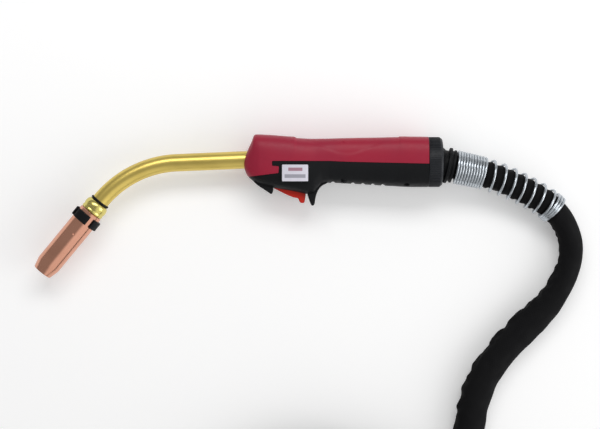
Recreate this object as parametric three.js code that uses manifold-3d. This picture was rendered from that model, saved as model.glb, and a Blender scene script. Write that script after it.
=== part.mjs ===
// A water-cooled MIG welding torch with its swivel, cable and central connector, in millimetres, +Z up.
// It lies on its right side. The handle runs along X, the wire leaves towards -X and -Y,
// and the cable leaves at +X.
import * as THREE from "three";
import { mergeVertices } from "three/addons/utils/BufferGeometryUtils.js";
import Module from "manifold-3d";

const wasm = await Module();
wasm.setup();

// Driving dimensions. Places on the torch are counted from the centre of the handle's rear face.
const GAP = 0.3; // left between pieces that touch
const AXIS_HEIGHT = 25; // handle axis above the table
const REAR_FACE_X = 141.2; // handle's rear face from the middle of the torch's length
const HANDLE_AXIS_Y = 44.3; // handle axis from the middle of the torch's depth

const NECK_RISE = 2.4; // degrees that the neck's straight part leans to the handle
const NOZZLE_DROP = 50.5; // degrees from the handle axis down to the nozzle axis
const NECK_CORNER = [-311.1, -2.7]; // where the neck's two straight axes meet
const NECK_BEND_RADIUS = 104;
const NECK_OUTER_RADIUS = 8.8;
const NECK_BORE_RADIUS = 6.6;
const NECK_REAR_X = -151;

// Places along the nozzle axis, counted from the neck's corner.
const SEAL_AT = 46.9;
const NUT_AT = 49.2;
const NUT_END = 61.3;
const NOZZLE_LENGTH = 77.2;
const NOZZLE_RADIUS = 12.4;
const NOZZLE_TIP_RADIUS = 9.75;
const NOZZLE_MOUTH_RADIUS = 8;
const NOZZLE_BORE_RADIUS = 10.4;
const BAND_RADIUS = 14.2;
const BAND_LENGTH = 7.5;
const TIP_RADIUS = 4;

const BALL_CENTRE = [-10, 0];
const BALL_RADIUS = 18.5;
const BALL_TILT = 12; // degrees that the cable side leans at rest, which is the swivel's limit
const FLANGE_END = 22.6; // rear face of the ball's flange, from the ball's centre

const COLLAR_RADIUS = 25;
const COLLAR_LENGTH = 14;
const SHELL_REAR_X = -14.4;

const WIRE_RADIUS = 1.1; // of the bend-protection spring
const SPRING_FRONT_RADIUS = 15.9;
const SPRING_END_RADIUS = 14.65;
const SPRING_COILS = { front: 10, open: 7, end: 3.5 };
const SPRING_START = 1.8; // along the cable from the ball's flange
const SPRING_PITCH = { front: 2.8, open: 10.6, end: 2.65 };

const CABLE_RADIUS = 12;
const CABLE_REST_Z = CABLE_RADIUS + 0.1 - AXIS_HEIGHT; // cable axis where it lies on the table
const COIL_MEAN_RADIUS = 120;
const COIL_CENTRE = [-104.6, -420];
const COIL_TOP = 48;

// The cable's own route from the swivel to the coil: x, y and z from the handle's rear face centre.
const CABLE_ROUTE = [
  [12.5, -4.78, 0],
  [25.2, -7.48, 0],
  [38.8, -10.5, -0.3],
  [56.4, -16.2, -1.4],
  [67.4, -20.8, -2.4],
  [78.4, -26.2, -3.5],
  [89.4, -31.8, -4.8],
  [98.4, -37.2, -6],
  [106, -42.2, -7],
  [113.2, -48.6, -8.2],
  [121, -59, -9.6],
  [127.5, -74, -11.2],
  [129.4, -87, -12.2],
  [127.9, -100, CABLE_REST_Z],
  [123.9, -112.6, CABLE_REST_Z],
  [117.4, -126, CABLE_REST_Z],
  [107.9, -139.5, CABLE_REST_Z],
  [93.7, -155, CABLE_REST_Z],
  [78, -171, CABLE_REST_Z],
  [62, -189, CABLE_REST_Z],
  [47.5, -210, CABLE_REST_Z],
  [36.5, -234, CABLE_REST_Z],
  [30, -262, CABLE_REST_Z],
  [27.6, -295, CABLE_REST_Z],
  [27.4, -335, CABLE_REST_Z],
  [27.4, -378, CABLE_REST_Z],
  [27.4, -420, CABLE_REST_Z],
];
// The cable's last stretch, from the top of the coil down to the connector.
const TAIL_ROUTE = [
  [-104.6, -540, 11],
  [-134, -540, 12.6],
  [-164, -540, 14],
  [-192, -540, 10],
  [-216, -540, 2.5],
  [-240, -540, -2],
  [-252, -540, -2],
];
const CONNECTOR_AT = [-252.3, -540, -2];

const finishes = {
  copper: { color: 0xc98f72, roughness: 0.28, metalness: 1 },
  brass: { color: 0xb9a24c, roughness: 0.3, metalness: 1 },
  neckBrass: { color: 0xc2a94f, roughness: 0.42, metalness: 1 },
  zinc: { color: 0xbcc5cc, roughness: 0.25, metalness: 1 },
  red: { color: 0x9e2a40, roughness: 0.42, metalness: 0 },
  black: { color: 0x18191b, roughness: 0.6, metalness: 0 },
  trigger: { color: 0xc42618, roughness: 0.4, metalness: 0 },
  label: { color: 0xe6e2ea, roughness: 0.4, metalness: 0 },
  sleeve: { color: 0x131415, roughness: 0.8, metalness: 0 },
  rubber: { color: 0x1b1b1c, roughness: 0.7, metalness: 0 },
  blueHose: { color: 0x2c5f9c, roughness: 0.5, metalness: 0 },
  redHose: { color: 0xa53228, roughness: 0.5, metalness: 0 },
};

const torch = new THREE.Group();
torch.position.set(REAR_FACE_X, HANDLE_AXIS_Y, AXIS_HEIGHT);

const deg = THREE.MathUtils.degToRad;
const nozzleAxis = new THREE.Vector3(-Math.cos(deg(NOZZLE_DROP)), -Math.sin(deg(NOZZLE_DROP)), 0);
const neckAxis = new THREE.Vector3(Math.cos(deg(NECK_RISE)), Math.sin(deg(NECK_RISE)), 0);
const supportAxis = new THREE.Vector3(Math.cos(deg(BALL_TILT)), -Math.sin(deg(BALL_TILT)), 0);
const handleAxis = new THREE.Vector3(1, 0, 0);
const up = new THREE.Vector3(0, 0, 1);
const corner = new THREE.Vector3(...NECK_CORNER, 0);
const ballCentre = new THREE.Vector3(...BALL_CENTRE, 0);

// A closed geometry as a solid, whichever way its faces point.
function solid(geometry) {
  const bare = geometry.clone();
  bare.deleteAttribute("normal");
  bare.deleteAttribute("uv");
  const merged = mergeVertices(bare, 1e-4);
  const make = (triVerts) =>
    new wasm.Manifold(
      new wasm.Mesh({ numProp: 3, vertProperties: merged.attributes.position.array, triVerts }),
    );
  const made = make(new Uint32Array(merged.index.array));
  return made.volume() >= 0 ? made : make(new Uint32Array(merged.index.array).reverse());
}

// Adds a solid to the torch as one named mesh.
function addPiece(name, made, finish) {
  const mesh = made.getMesh();
  const geometry = new THREE.BufferGeometry();
  geometry.setAttribute("position", new THREE.BufferAttribute(new Float32Array(mesh.vertProperties), 3));
  geometry.setIndex(new THREE.BufferAttribute(new Uint32Array(mesh.triVerts), 1));
  geometry.computeVertexNormals();
  const piece = new THREE.Mesh(geometry, new THREE.MeshStandardMaterial(finishes[finish]));
  piece.name = name;
  torch.add(piece);
}

// A profile of [radius, distance] points spun round an axis that starts at a point.
function spun(profile, start, axis, sides = 32) {
  const geometry = new THREE.LatheGeometry(
    profile.map(([r, t]) => new THREE.Vector2(r, t)),
    sides,
  );
  geometry.applyQuaternion(new THREE.Quaternion().setFromUnitVectors(new THREE.Vector3(0, 1, 0), axis));
  geometry.translate(start.x, start.y, start.z);
  return solid(geometry);
}

// A round bar or, with an inner radius, a tube.
function bar(radius, from, to, start, axis, sides = 24, inner = 0) {
  const outline = [
    [inner, from],
    [radius, from],
    [radius, to],
    [inner, to],
  ];
  return spun(inner ? [...outline, [inner, from]] : outline, start, axis, sides);
}

// An outline in X and Y, as thick as from low to high in Z.
function plate(outline, low, high) {
  const shape = new THREE.Shape(outline.map(([x, y]) => new THREE.Vector2(x, y)));
  const geometry = new THREE.ExtrudeGeometry(shape, { depth: high - low, bevelEnabled: false });
  geometry.translate(0, 0, low);
  return solid(geometry);
}

function box(low, high) {
  const geometry = new THREE.BoxGeometry(high[0] - low[0], high[1] - low[1], high[2] - low[2]);
  geometry.translate((low[0] + high[0]) / 2, (low[1] + high[1]) / 2, (low[2] + high[2]) / 2);
  return solid(geometry);
}

// A round section swept along a curve.
function swept(curve, radius, steps, sides) {
  const section = new THREE.Shape();
  for (let i = 0; i < sides; i++) {
    const angle = (2 * Math.PI * i) / sides;
    section[i ? "lineTo" : "moveTo"](radius * Math.cos(angle), radius * Math.sin(angle));
  }
  section.closePath();
  return solid(
    new THREE.ExtrudeGeometry(section, { steps, bevelEnabled: false, extrudePath: curve, curveSegments: 1 }),
  );
}

const along = (start, axis, distance) => start.clone().addScaledVector(axis, distance);

// A body whose rounded-square section changes at each station: x, top, bottom and half width.
function lofted(stations, squareness, sides) {
  const section = new THREE.Shape();
  for (let i = 0; i < sides; i++) {
    const angle = (2 * Math.PI * (i + 0.5)) / sides;
    const [c, s] = [Math.cos(angle), Math.sin(angle)];
    const reach = (Math.abs(c) ** squareness + Math.abs(s) ** squareness) ** (-1 / squareness);
    section[i ? "lineTo" : "moveTo"](reach * c, reach * s);
  }
  section.closePath();
  const steps = stations.length - 1;
  const geometry = new THREE.ExtrudeGeometry(section, { depth: steps, steps, bevelEnabled: false });
  const place = geometry.attributes.position;
  for (let i = 0; i < place.count; i++) {
    const [x, top, bottom, halfWidth] = stations[Math.round(place.getZ(i))];
    const y = (top + bottom) / 2 + ((top - bottom) / 2) * place.getX(i);
    place.setXYZ(i, x, y, halfWidth * place.getY(i));
  }
  return solid(geometry);
}

// ---- neck and nozzle

// The neck's centre line: straight from the handle, one bend, straight to the nozzle.
function neckPath(rearX, frontAt) {
  const turn = deg(NOZZLE_DROP - NECK_RISE);
  const tangent = NECK_BEND_RADIUS * Math.tan(turn / 2);
  const rear = along(corner, neckAxis, (rearX - corner.x) / neckAxis.x);
  const bendStart = along(corner, neckAxis, tangent);
  const bendEnd = along(corner, nozzleAxis, tangent);
  const path = new THREE.CurvePath();
  path.add(new THREE.LineCurve3(rear, bendStart));
  path.add(new THREE.CubicBezierCurve3(
    bendStart,
    along(bendStart, neckAxis, -(4 / 3) * Math.tan(turn / 4) * NECK_BEND_RADIUS),
    along(bendEnd, nozzleAxis, -(4 / 3) * Math.tan(turn / 4) * NECK_BEND_RADIUS),
    bendEnd,
  ));
  path.add(new THREE.LineCurve3(bendEnd, along(corner, nozzleAxis, frontAt)));
  return path;
}

function buildNeck() {
  const steps = 24;
  const tube = swept(neckPath(NECK_REAR_X, NUT_AT - GAP), NECK_OUTER_RADIUS, steps, 18);
  const bore = swept(neckPath(NECK_REAR_X + 1, NUT_AT + 1), NECK_BORE_RADIUS, steps, 12);
  addPiece("neck_tube", tube.subtract(bore), "neckBrass");
  addPiece("neck_core_tube", swept(neckPath(NECK_REAR_X, NUT_AT - GAP), 4.2, steps, 8), "copper");
  addPiece("neck_seal_ring", bar(10.2, SEAL_AT, NUT_AT - GAP, corner, nozzleAxis, 28, 9.2), "rubber");
  const nut = spun(
    [
      [0, NUT_AT],
      [9.6, NUT_AT],
      [11.4, NUT_AT + 1.6],
      [12.1, NUT_AT + 4.4],
      [11.7, NUT_AT + 7.2],
      [10.9, NUT_AT + 8.3],
      [11.6, NUT_AT + 9.2],
      [11.9, NUT_AT + 10.8],
      [11.2, NUT_END],
      [0, NUT_END],
    ],
    corner,
    nozzleAxis,
    36,
  );
  addPiece("neck_nut", nut, "brass");
}

function buildBurner() {
  const at = NUT_END + GAP;
  const diffuser = spun(
    [
      [0, at],
      [9.4, at],
      [9.4, at + 20],
      [7.6, at + 22],
      [7.6, at + 30],
      [0, at + 30],
    ],
    corner,
    nozzleAxis,
    24,
  );
  const clipGroove = bar(12, at + 11.4, at + 14.6, corner, nozzleAxis, 24, 8.6);
  addPiece("gas_diffuser", diffuser.subtract(clipGroove), "brass");
  addPiece("nozzle_clip_ring", bar(9.9, at + 12, at + 14, corner, nozzleAxis, 24, 8.9), "zinc");
  addPiece("tip_holder", bar(5.6, at + 30.3, at + 37, corner, nozzleAxis, 6), "brass");
  const tip = spun(
    [
      [0, at + 37.3],
      [TIP_RADIUS, at + 37.3],
      [TIP_RADIUS, at + 62],
      [2.4, at + 68],
      [0, at + 68],
    ],
    corner,
    nozzleAxis,
    20,
  );
  addPiece("contact_tip", tip, "copper");
}

function buildNozzle() {
  const rear = NUT_END + GAP;
  const front = rear + NOZZLE_LENGTH;
  const bandAt = rear + 5;
  const seatRadius = 11.1; // of the insulator's seat in the copper
  const nozzle = spun(
    [
      [NOZZLE_BORE_RADIUS, rear],
      [12, rear],
      [12, bandAt],
      [seatRadius, bandAt],
      [seatRadius, bandAt + BAND_LENGTH],
      [NOZZLE_RADIUS, bandAt + BAND_LENGTH],
      [NOZZLE_RADIUS, front - 10],
      [NOZZLE_TIP_RADIUS, front],
      [NOZZLE_MOUTH_RADIUS, front],
      [NOZZLE_MOUTH_RADIUS, front - 8],
      [NOZZLE_BORE_RADIUS, front - 16],
      [NOZZLE_BORE_RADIUS, rear],
    ],
    corner,
    nozzleAxis,
    40,
  );
  addPiece("gas_nozzle", nozzle, "copper");
  const band = bar(
    BAND_RADIUS, bandAt + GAP, bandAt + BAND_LENGTH - GAP, corner, nozzleAxis, 40, seatRadius + GAP,
  );
  addPiece("nozzle_insulator", band, "black");
}

// ---- handle

const shellStations = [
  [-197, 0.5, -6.5, 11],
  [-195.6, 6.5, -11, 14],
  [-193, 13.2, -15, 16.8],
  [-189, 21.8, -18.6, 19.2],
  [-185.8, 26.4, -21, 20.6],
  [-181, 27.4, -23, 22],
  [-168, 26.6, -26, 23.2],
  [-150, 25.2, -29.2, 23.5],
  [-144, 23.8, -30.3, 23.4],
  [-135, 23.2, -32, 23],
  [-129, 23, -32, 22.6],
  [-124, 23, -27, 22.2],
  [-119.6, 23.1, -22.4, 22],
  [-112, 23.3, -20.8, 21.8],
  [-92, 23.8, -21.6, 21.7],
  [-68, 24.2, -23, 22],
  [-47, 24.7, -24.2, 22.8],
  [-42, 25.4, -24.5, 23.2],
  [-30, 25.2, -25, 24],
  [SHELL_REAR_X, 25, -25, 24.8],
];
const SHELL_WALL = 3;

// The line where the red shell meets the black one, with its notch and finger near the nose.
// Each point also says which way the red shell's edge stands back from it.
const partingLine = [
  [-205, -16.4, 0, 1],
  [-186.6, -14.8, 0, 1],
  [-163, -11.9, -1, 1],
  [-162.4, -5.2, -1, -1],
  [-168.9, -4.7, -1, -1],
  [-168.9, 0, -1, 1],
  [-111.6, 0, 0, 1],
  [-96.6, -0.7, 0, 1],
  [-59.6, -1.6, 0, 1],
  [-10, -2.8, 0, 1],
];

const SHELL_SQUARENESS = 3.4;
const CAVITY_FRONT_X = -177;

function shellCavity() {
  const inner = shellStations
    .filter(([x]) => x > CAVITY_FRONT_X - 5)
    .map(([x, top, bottom, width]) => [x, top - SHELL_WALL, bottom + SHELL_WALL, width - SHELL_WALL]);
  inner[0][0] = CAVITY_FRONT_X;
  inner[inner.length - 1][0] = SHELL_REAR_X + 1;
  return lofted(inner, SHELL_SQUARENESS, 16);
}

function shellBlank() {
  const outer = lofted(shellStations, SHELL_SQUARENESS, 28);
  const neckHole = bar(NECK_OUTER_RADIUS + 0.5, 100, 150, corner, neckAxis, 24);
  return outer.subtract(shellCavity()).subtract(neckHole);
}

function below(line, shift) {
  const edge = line.map(([x, y, dx, dy]) => [x + dx * shift, y + dy * shift]);
  return plate([...edge, [-10, -60], [-205, -60]], -40, 40);
}

const screwPlaces = [
  [-98, 13.6],
  [-98, -13.6],
  [-36, 14.6],
  [-36, -14.6],
];
const SCREW_HEAD_RADIUS = 3;
const SCREW_SEAT_Y = -17;

function upright(radius, low, high, x, z, inner = 0) {
  return bar(radius, low, high, new THREE.Vector3(x, 0, z), new THREE.Vector3(0, 1, 0), 16, inner);
}

function buildShells() {
  const blank = shellBlank();
  let upper = blank.subtract(below(partingLine, GAP));
  let lower = blank.intersect(below(partingLine, 0));
  for (const [x, z] of screwPlaces) {
    upper = upper.add(upright(4.2, 2, 20, x, z));
    upper = upper.subtract(upright(1.8, -5, 13, x, z));
    lower = lower.add(upright(4.2, -18.5, -3.5, x, z));
    lower = lower.subtract(upright(1.8, -30, 0, x, z));
    lower = lower.subtract(upright(SCREW_HEAD_RADIUS + GAP, -30, SCREW_SEAT_Y, x, z));
  }
  addPiece("upper_shell", upper, "red");

  const hook = plate(
    [
      [-188, -17],
      [-186.6, -21],
      [-170.6, -32],
      [-168.6, -28.5],
      [-168.3, -20],
    ],
    -11,
    11,
  );
  const guard = plate(
    [
      [-134.4, -30],
      [-133.8, -33.7],
      [-130.4, -42],
      [-128.9, -43.7],
      [-127, -42],
      [-125.4, -32.5],
      [-123.4, -26.3],
      [-119.6, -22],
      [-126, -21],
    ],
    -12,
    12,
  );
  const triggerSlot = box([-168.2, -50, -8], [-134.4, -19, 8]);
  lower = lower.add(hook.add(guard).subtract(shellCavity()));
  for (const side of [-1, 1]) {
    const inner = side * 8.2;
    const outer = side * 11.5;
    lower = lower.add(box([-168, -26, Math.min(inner, outer)], [-159.5, -18.5, Math.max(inner, outer)]));
  }
  lower = lower.subtract(triggerSlot);
  lower = lower.subtract(bar(1.8, -12, 12, triggerPivot, up, 12));
  for (let i = 0; i < NOTCH_COUNT; i++) lower = lower.subtract(gripNotch(i));
  lower = lower.add(box([-160.2, -20.6, 20], [-132.8, -2.6, 23.7]));
  addPiece("lower_shell", lower, "black");

  screwPlaces.forEach(([x, z], i) => {
    const head = upright(SCREW_HEAD_RADIUS, SCREW_SEAT_Y - 2.8, SCREW_SEAT_Y - GAP, x, z);
    const shank = upright(1.4, SCREW_SEAT_Y - 1, 9, x, z);
    addPiece(`shell_screw_${i + 1}`, head.add(shank), "black");
  });
  addPiece("name_label", box([-159.3, -19.8, 24], [-133.6, -3.4, 24.7]), "label");
}

// Shallow finger notches across the underside of the grip, which falls away to the rear.
const NOTCH_COUNT = 6;
const NOTCH_PITCH = 9.95;
const NOTCH_RADIUS = 4.2;
const FIRST_NOTCH = [-108.4, -24.14];
const GRIP_SLOPE = 0.052;
function gripNotch(i) {
  const x = FIRST_NOTCH[0] + NOTCH_PITCH * i;
  const y = FIRST_NOTCH[1] - GRIP_SLOPE * NOTCH_PITCH * i;
  return bar(NOTCH_RADIUS, -30, 30, new THREE.Vector3(x, y, 0), up, 12);
}

// ---- trigger and switch

const triggerPivot = new THREE.Vector3(-164, -22.6, 0);
const PLUNGER_X = -141;

function buildTrigger() {
  const blade = plate(
    [
      [-167.7, -25],
      [-167.2, -26.6],
      [-146.6, -35.8],
      [-142.4, -36.4],
      [-141.6, -38.2],
      [-139.6, -40.6],
      [-138, -40.6],
      [-136, -33.5],
      [-136.2, -25.4],
      [-138, -23],
      [-158, -23],
      [-161.4, -20.2],
      [-166.4, -20.2],
    ],
    -7.4,
    7.4,
  );
  addPiece("trigger", blade.subtract(bar(1.8, -12, 12, triggerPivot, up, 12)), "trigger");
  addPiece("trigger_pin", bar(1.5, -11, 11, triggerPivot, up, 12), "zinc");
  const body = box([-150, -20, -5], [-133, -10, 5]);
  const bore = upright(1.9, -25, -14, PLUNGER_X, 0);
  addPiece("microswitch_body", body.subtract(bore), "black");
  addPiece("switch_plunger", upright(1.5, -22.7, -17, PLUNGER_X, 0), "trigger");
}

// ---- inside the handle

function buildInside() {
  const block = box([-172, -13, -13], [-153, 17, 13]);
  const neckSeat = bar(NECK_OUTER_RADIUS + GAP, 100, 180, corner, neckAxis, 24);
  addPiece("neck_clamp_block", block.subtract(neckSeat), "black");
  const end = -30.5;
  const hose = (points, radius, sides) => {
    const curve = new THREE.CatmullRomCurve3(points.map((p) => new THREE.Vector3(...p)));
    return swept(curve, radius, 10, sides);
  };
  const power = [[-150.5, 6, -4], [-120, 6, -5], [-75, 3, -5], [end, 3, -5]];
  const water = [[-150.5, 6, 5], [-120, 6, 4.6], [-75, 3, 4.8], [end, 3, 5]];
  const gas = [[-150.5, -4, 1], [-120, -4, 0], [-75, -7, 0], [end, -7, 0]];
  const switchWire = [[-132.5, -15, 0], [-115, -14.5, 0], [-75, -13, 2], [end, -12, 3]];
  addPiece("power_hose", hose(power, 4.5, 10), "redHose");
  addPiece("water_hose", hose(water, 4, 10), "blueHose");
  addPiece("gas_hose", hose(gas, 3, 8), "rubber");
  addPiece("control_wire", hose(switchWire, 1.6, 8), "rubber");
}

// ---- swivel

function buildSwivel() {
  const collar = spun(
    [
      [21.9, -COLLAR_LENGTH],
      [COLLAR_RADIUS, -COLLAR_LENGTH],
      [COLLAR_RADIUS, -1.6],
      [COLLAR_RADIUS - 1.6, 0],
      [17.4, 0],
      [17.4, -2.4],
      [21.9, -3],
      [21.9, -COLLAR_LENGTH],
    ],
    new THREE.Vector3(),
    handleAxis,
    48,
  );
  addPiece("rear_collar", collar, "black");

  const ring = bar(20.5, -28, -3.4, new THREE.Vector3(), handleAxis, 32);
  const socket = new THREE.SphereGeometry(BALL_RADIUS + 0.45, 24, 14);
  socket.translate(...BALL_CENTRE, 0);
  const throat = bar(14.5, -40, 10, new THREE.Vector3(), handleAxis, 32);
  addPiece("ball_seat_ring", ring.subtract(solid(socket)).subtract(throat), "black");

  const ball = new THREE.SphereGeometry(BALL_RADIUS, 24, 14);
  ball.translate(...BALL_CENTRE, 0);
  const stem = spun(
    [
      [0, 8],
      [14.6, 8],
      [14.6, 14.9],
      [18, 15.2],
      [18, 18],
      [15.4, 18.6],
      [15.4, 20.2],
      [16.5, 20.4],
      [16.5, FLANGE_END],
      [0, FLANGE_END],
    ],
    ballCentre,
    supportAxis,
    36,
  );
  const bore = bar(10, -30, 30, ballCentre, supportAxis, 24);
  const noseCut = bar(30, -30, -12.5, ballCentre, handleAxis, 16);
  addPiece("swivel_ball", solid(ball).add(stem).subtract(bore).subtract(noseCut), "black");
}

// ---- spring and cable

const cableCurve = new THREE.CatmullRomCurve3(
  CABLE_ROUTE.map((p) => new THREE.Vector3(...p)),
  false,
  "centripetal",
);

// The spring's wire round the cable's route: a tight front block, open coils and a tight end.
class SpringWire extends THREE.Curve {
  constructor() {
    super();
    this.coils = SPRING_COILS.front + SPRING_COILS.open + SPRING_COILS.end;
    this.routeLength = cableCurve.getLength();
  }

  // Distance along the cable of a place that is a number of coils from the spring's front.
  distanceAt(coil) {
    const front = Math.min(coil, SPRING_COILS.front);
    const open = THREE.MathUtils.clamp(coil - SPRING_COILS.front, 0, SPRING_COILS.open);
    const end = Math.max(coil - SPRING_COILS.front - SPRING_COILS.open, 0);
    return front * SPRING_PITCH.front + open * SPRING_PITCH.open + end * SPRING_PITCH.end;
  }

  getPoint(u) {
    const coil = u * this.coils;
    const place = (SPRING_START + this.distanceAt(coil)) / this.routeLength;
    const centre = cableCurve.getPointAt(place);
    const tangent = cableCurve.getTangentAt(place);
    const side = new THREE.Vector3().crossVectors(up, tangent).normalize();
    const lift = new THREE.Vector3().crossVectors(tangent, side);
    const taper = THREE.MathUtils.smoothstep(coil, SPRING_COILS.front, this.coils - SPRING_COILS.end);
    const radius = THREE.MathUtils.lerp(SPRING_FRONT_RADIUS, SPRING_END_RADIUS, taper);
    const angle = 2 * Math.PI * coil;
    centre.addScaledVector(side, radius * Math.cos(angle));
    return centre.addScaledVector(lift, radius * Math.sin(angle));
  }
}

function buildSpring() {
  const wire = new SpringWire();
  addPiece("support_spring", swept(wire, WIRE_RADIUS, Math.round(wire.coils * 8), 5), "zinc");
}

const coilCentre = new THREE.Vector3(...COIL_CENTRE, -AXIS_HEIGHT);

// The outer shape of the wound turns: two rows on the table and one on top, grown by a margin.
function coilRing(margin) {
  const outer = COIL_MEAN_RADIUS + 2 * CABLE_RADIUS + 0.4;
  const inner = COIL_MEAN_RADIUS - 2 * CABLE_RADIUS - 0.4;
  const half = [
    [inner + 4, -margin],
    [outer - 4, -margin],
    [outer + margin, 5],
    [outer + margin, 19],
    [outer - 9 + margin, 38],
    [COIL_MEAN_RADIUS + 8, COIL_TOP + margin],
    [COIL_MEAN_RADIUS - 8, COIL_TOP + margin],
    [inner + 9 - margin, 38],
    [inner - margin, 19],
    [inner - margin, 5],
    [inner + 4, -margin],
  ];
  return spun(half, coilCentre, up, 40);
}

// The outline of a strap round the wound turns, as radius and height, set in by an amount.
function tieOutline(inset) {
  const halfWidth = 2 * CABLE_RADIUS + 3 - inset;
  const halfTop = 12 - inset * 0.6;
  const top = COIL_TOP + 2.8 - inset;
  return [
    [COIL_MEAN_RADIUS - halfWidth, 0.2 + inset],
    [COIL_MEAN_RADIUS + halfWidth, 0.2 + inset],
    [COIL_MEAN_RADIUS + halfWidth, 20],
    [COIL_MEAN_RADIUS + halfTop, top],
    [COIL_MEAN_RADIUS - halfTop, top],
    [COIL_MEAN_RADIUS - halfWidth, 20],
  ];
}

// Stands a flat solid across the ring at an angle in degrees.
function acrossCoil(flat, angle) {
  const turn = new THREE.Matrix4()
    .makeTranslation(coilCentre.x, coilCentre.y, coilCentre.z)
    .multiply(new THREE.Matrix4().makeRotationZ(deg(angle)))
    .multiply(new THREE.Matrix4().makeRotationX(Math.PI / 2));
  return flat.transform(turn.elements);
}

const TIE_ANGLES = [140, 215];
const TIE_THICKNESS = 1.2;
const TIE_WIDTH = 20;

function buildCable() {
  const keepOff = coilRing(GAP);
  addPiece("cable_run", swept(cableCurve, CABLE_RADIUS, 32, 10).subtract(keepOff), "sleeve");
  const tailCurve = new THREE.CatmullRomCurve3(TAIL_ROUTE.map((p) => new THREE.Vector3(...p)));
  const tail = swept(tailCurve, CABLE_RADIUS, 9, 10);
  let ring = coilRing(0);
  const underside = box([-300, -700, -AXIS_HEIGHT], [100, -200, -AXIS_HEIGHT + 1.9]);
  TIE_ANGLES.forEach((angle, i) => {
    const filled = plate(tieOutline(0), -TIE_WIDTH / 2, TIE_WIDTH / 2);
    const hole = plate(tieOutline(TIE_THICKNESS), -TIE_WIDTH, TIE_WIDTH);
    ring = ring.subtract(acrossCoil(filled, angle).intersect(underside));
    addPiece(`coil_tie_${i + 1}`, acrossCoil(filled.subtract(hole), angle), "rubber");
  });
  addPiece("cable_coil", ring, "sleeve");
  addPiece("cable_tail", tail.subtract(keepOff), "sleeve");
}

// ---- central connector, lying beyond the coil; its distances are counted from the boot's rear face

function buildConnector() {
  const start = new THREE.Vector3(...CONNECTOR_AT);
  const axis = new THREE.Vector3(-1, 0, 0);
  const boot = spun(
    [
      [0, 0],
      [14, 0],
      [15, 2],
      [19, 34],
      [19, 40],
      [0, 40],
    ],
    start,
    axis,
    28,
  );
  addPiece("connector_boot", boot, "rubber");
  const housing = spun(
    [
      [0, 40.3],
      [20, 40.3],
      [22, 43],
      [22, 84],
      [16.2, 84],
      [16.2, 62],
      [0, 62],
    ],
    start,
    axis,
    28,
  );
  addPiece("connector_housing", housing, "black");
  const nut = spun(
    [
      [16.2, 84.4],
      [21, 84.4],
      [22.9, 86.4],
      [22.9, 107],
      [21.4, 108.6],
      [16.2, 108.6],
      [16.2, 84.4],
    ],
    start,
    axis,
    36,
  );
  addPiece("connector_nut", nut, "black");
  let block = bar(15.6, 62.3, 110, start, axis, 32);
  const tubeAt = 110.3;
  addPiece("wire_inlet_tube", bar(4.6, tubeAt, tubeAt + 18, start, axis, 20), "brass");
  addPiece("liner_nut", bar(5.8, tubeAt + 18.3, tubeAt + 25, start, axis, 6), "brass");
  const gasPinStart = new THREE.Vector3(start.x, start.y, start.z + 10);
  addPiece("gas_pin", bar(3, tubeAt, tubeAt + 9, gasPinStart, axis, 16), "brass");
  [-1, 1].forEach((side, i) => {
    const pinAxisAt = new THREE.Vector3(start.x, start.y + side * 8.5, start.z - 7.5);
    block = block.subtract(bar(2.3, 100, 120, pinAxisAt, axis, 14));
    addPiece(`control_pin_${i + 1}`, bar(1.9, 104.5, 117, pinAxisAt, axis, 14), "brass");
  });
  addPiece("connector_block", block, "brass");
}

buildNeck();
buildBurner();
buildNozzle();
buildShells();
buildTrigger();
buildInside();
buildSwivel();
buildSpring();
buildCable();
buildConnector();

export default torch;
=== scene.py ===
import math

import bmesh
import bpy
from mathutils import Matrix, Vector, noise


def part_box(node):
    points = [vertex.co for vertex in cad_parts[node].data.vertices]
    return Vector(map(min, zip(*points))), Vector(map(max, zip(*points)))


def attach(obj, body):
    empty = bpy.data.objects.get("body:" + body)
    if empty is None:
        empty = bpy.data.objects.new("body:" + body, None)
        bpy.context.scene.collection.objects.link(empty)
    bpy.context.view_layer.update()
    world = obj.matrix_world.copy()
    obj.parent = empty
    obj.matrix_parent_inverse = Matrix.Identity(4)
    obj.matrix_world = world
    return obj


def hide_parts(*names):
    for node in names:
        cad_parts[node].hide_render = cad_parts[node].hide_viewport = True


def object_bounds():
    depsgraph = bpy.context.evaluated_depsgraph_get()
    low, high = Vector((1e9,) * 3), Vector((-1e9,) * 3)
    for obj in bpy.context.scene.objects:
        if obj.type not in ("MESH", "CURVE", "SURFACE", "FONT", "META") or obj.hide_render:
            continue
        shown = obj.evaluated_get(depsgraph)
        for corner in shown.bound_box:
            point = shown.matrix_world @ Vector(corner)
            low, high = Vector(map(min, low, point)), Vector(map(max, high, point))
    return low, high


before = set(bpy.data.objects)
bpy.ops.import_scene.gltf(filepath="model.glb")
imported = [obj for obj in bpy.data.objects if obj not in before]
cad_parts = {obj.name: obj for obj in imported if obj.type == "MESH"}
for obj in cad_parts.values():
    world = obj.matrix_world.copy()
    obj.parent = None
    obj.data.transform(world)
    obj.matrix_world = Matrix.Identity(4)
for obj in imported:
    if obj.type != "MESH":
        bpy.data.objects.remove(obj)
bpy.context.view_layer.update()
mm = 0.001
up = Vector((0, 0, 1))

# everything is placed from the centre of the handle's rear face, in millimetres
collarLow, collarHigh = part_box("rear_collar")
rearFace = Vector((collarHigh.x, (collarLow.y + collarHigh.y) / 2, (collarLow.z + collarHigh.z) / 2))
tableZ = -rearFace.z / mm


def at(x, y, z=0.0):
    return rearFace + Vector((x, y, z)) * mm


# camera
camera = {"centre": (-141.6, -52.5), "height": 1500, "width": 600, "sensor": 36}


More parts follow.
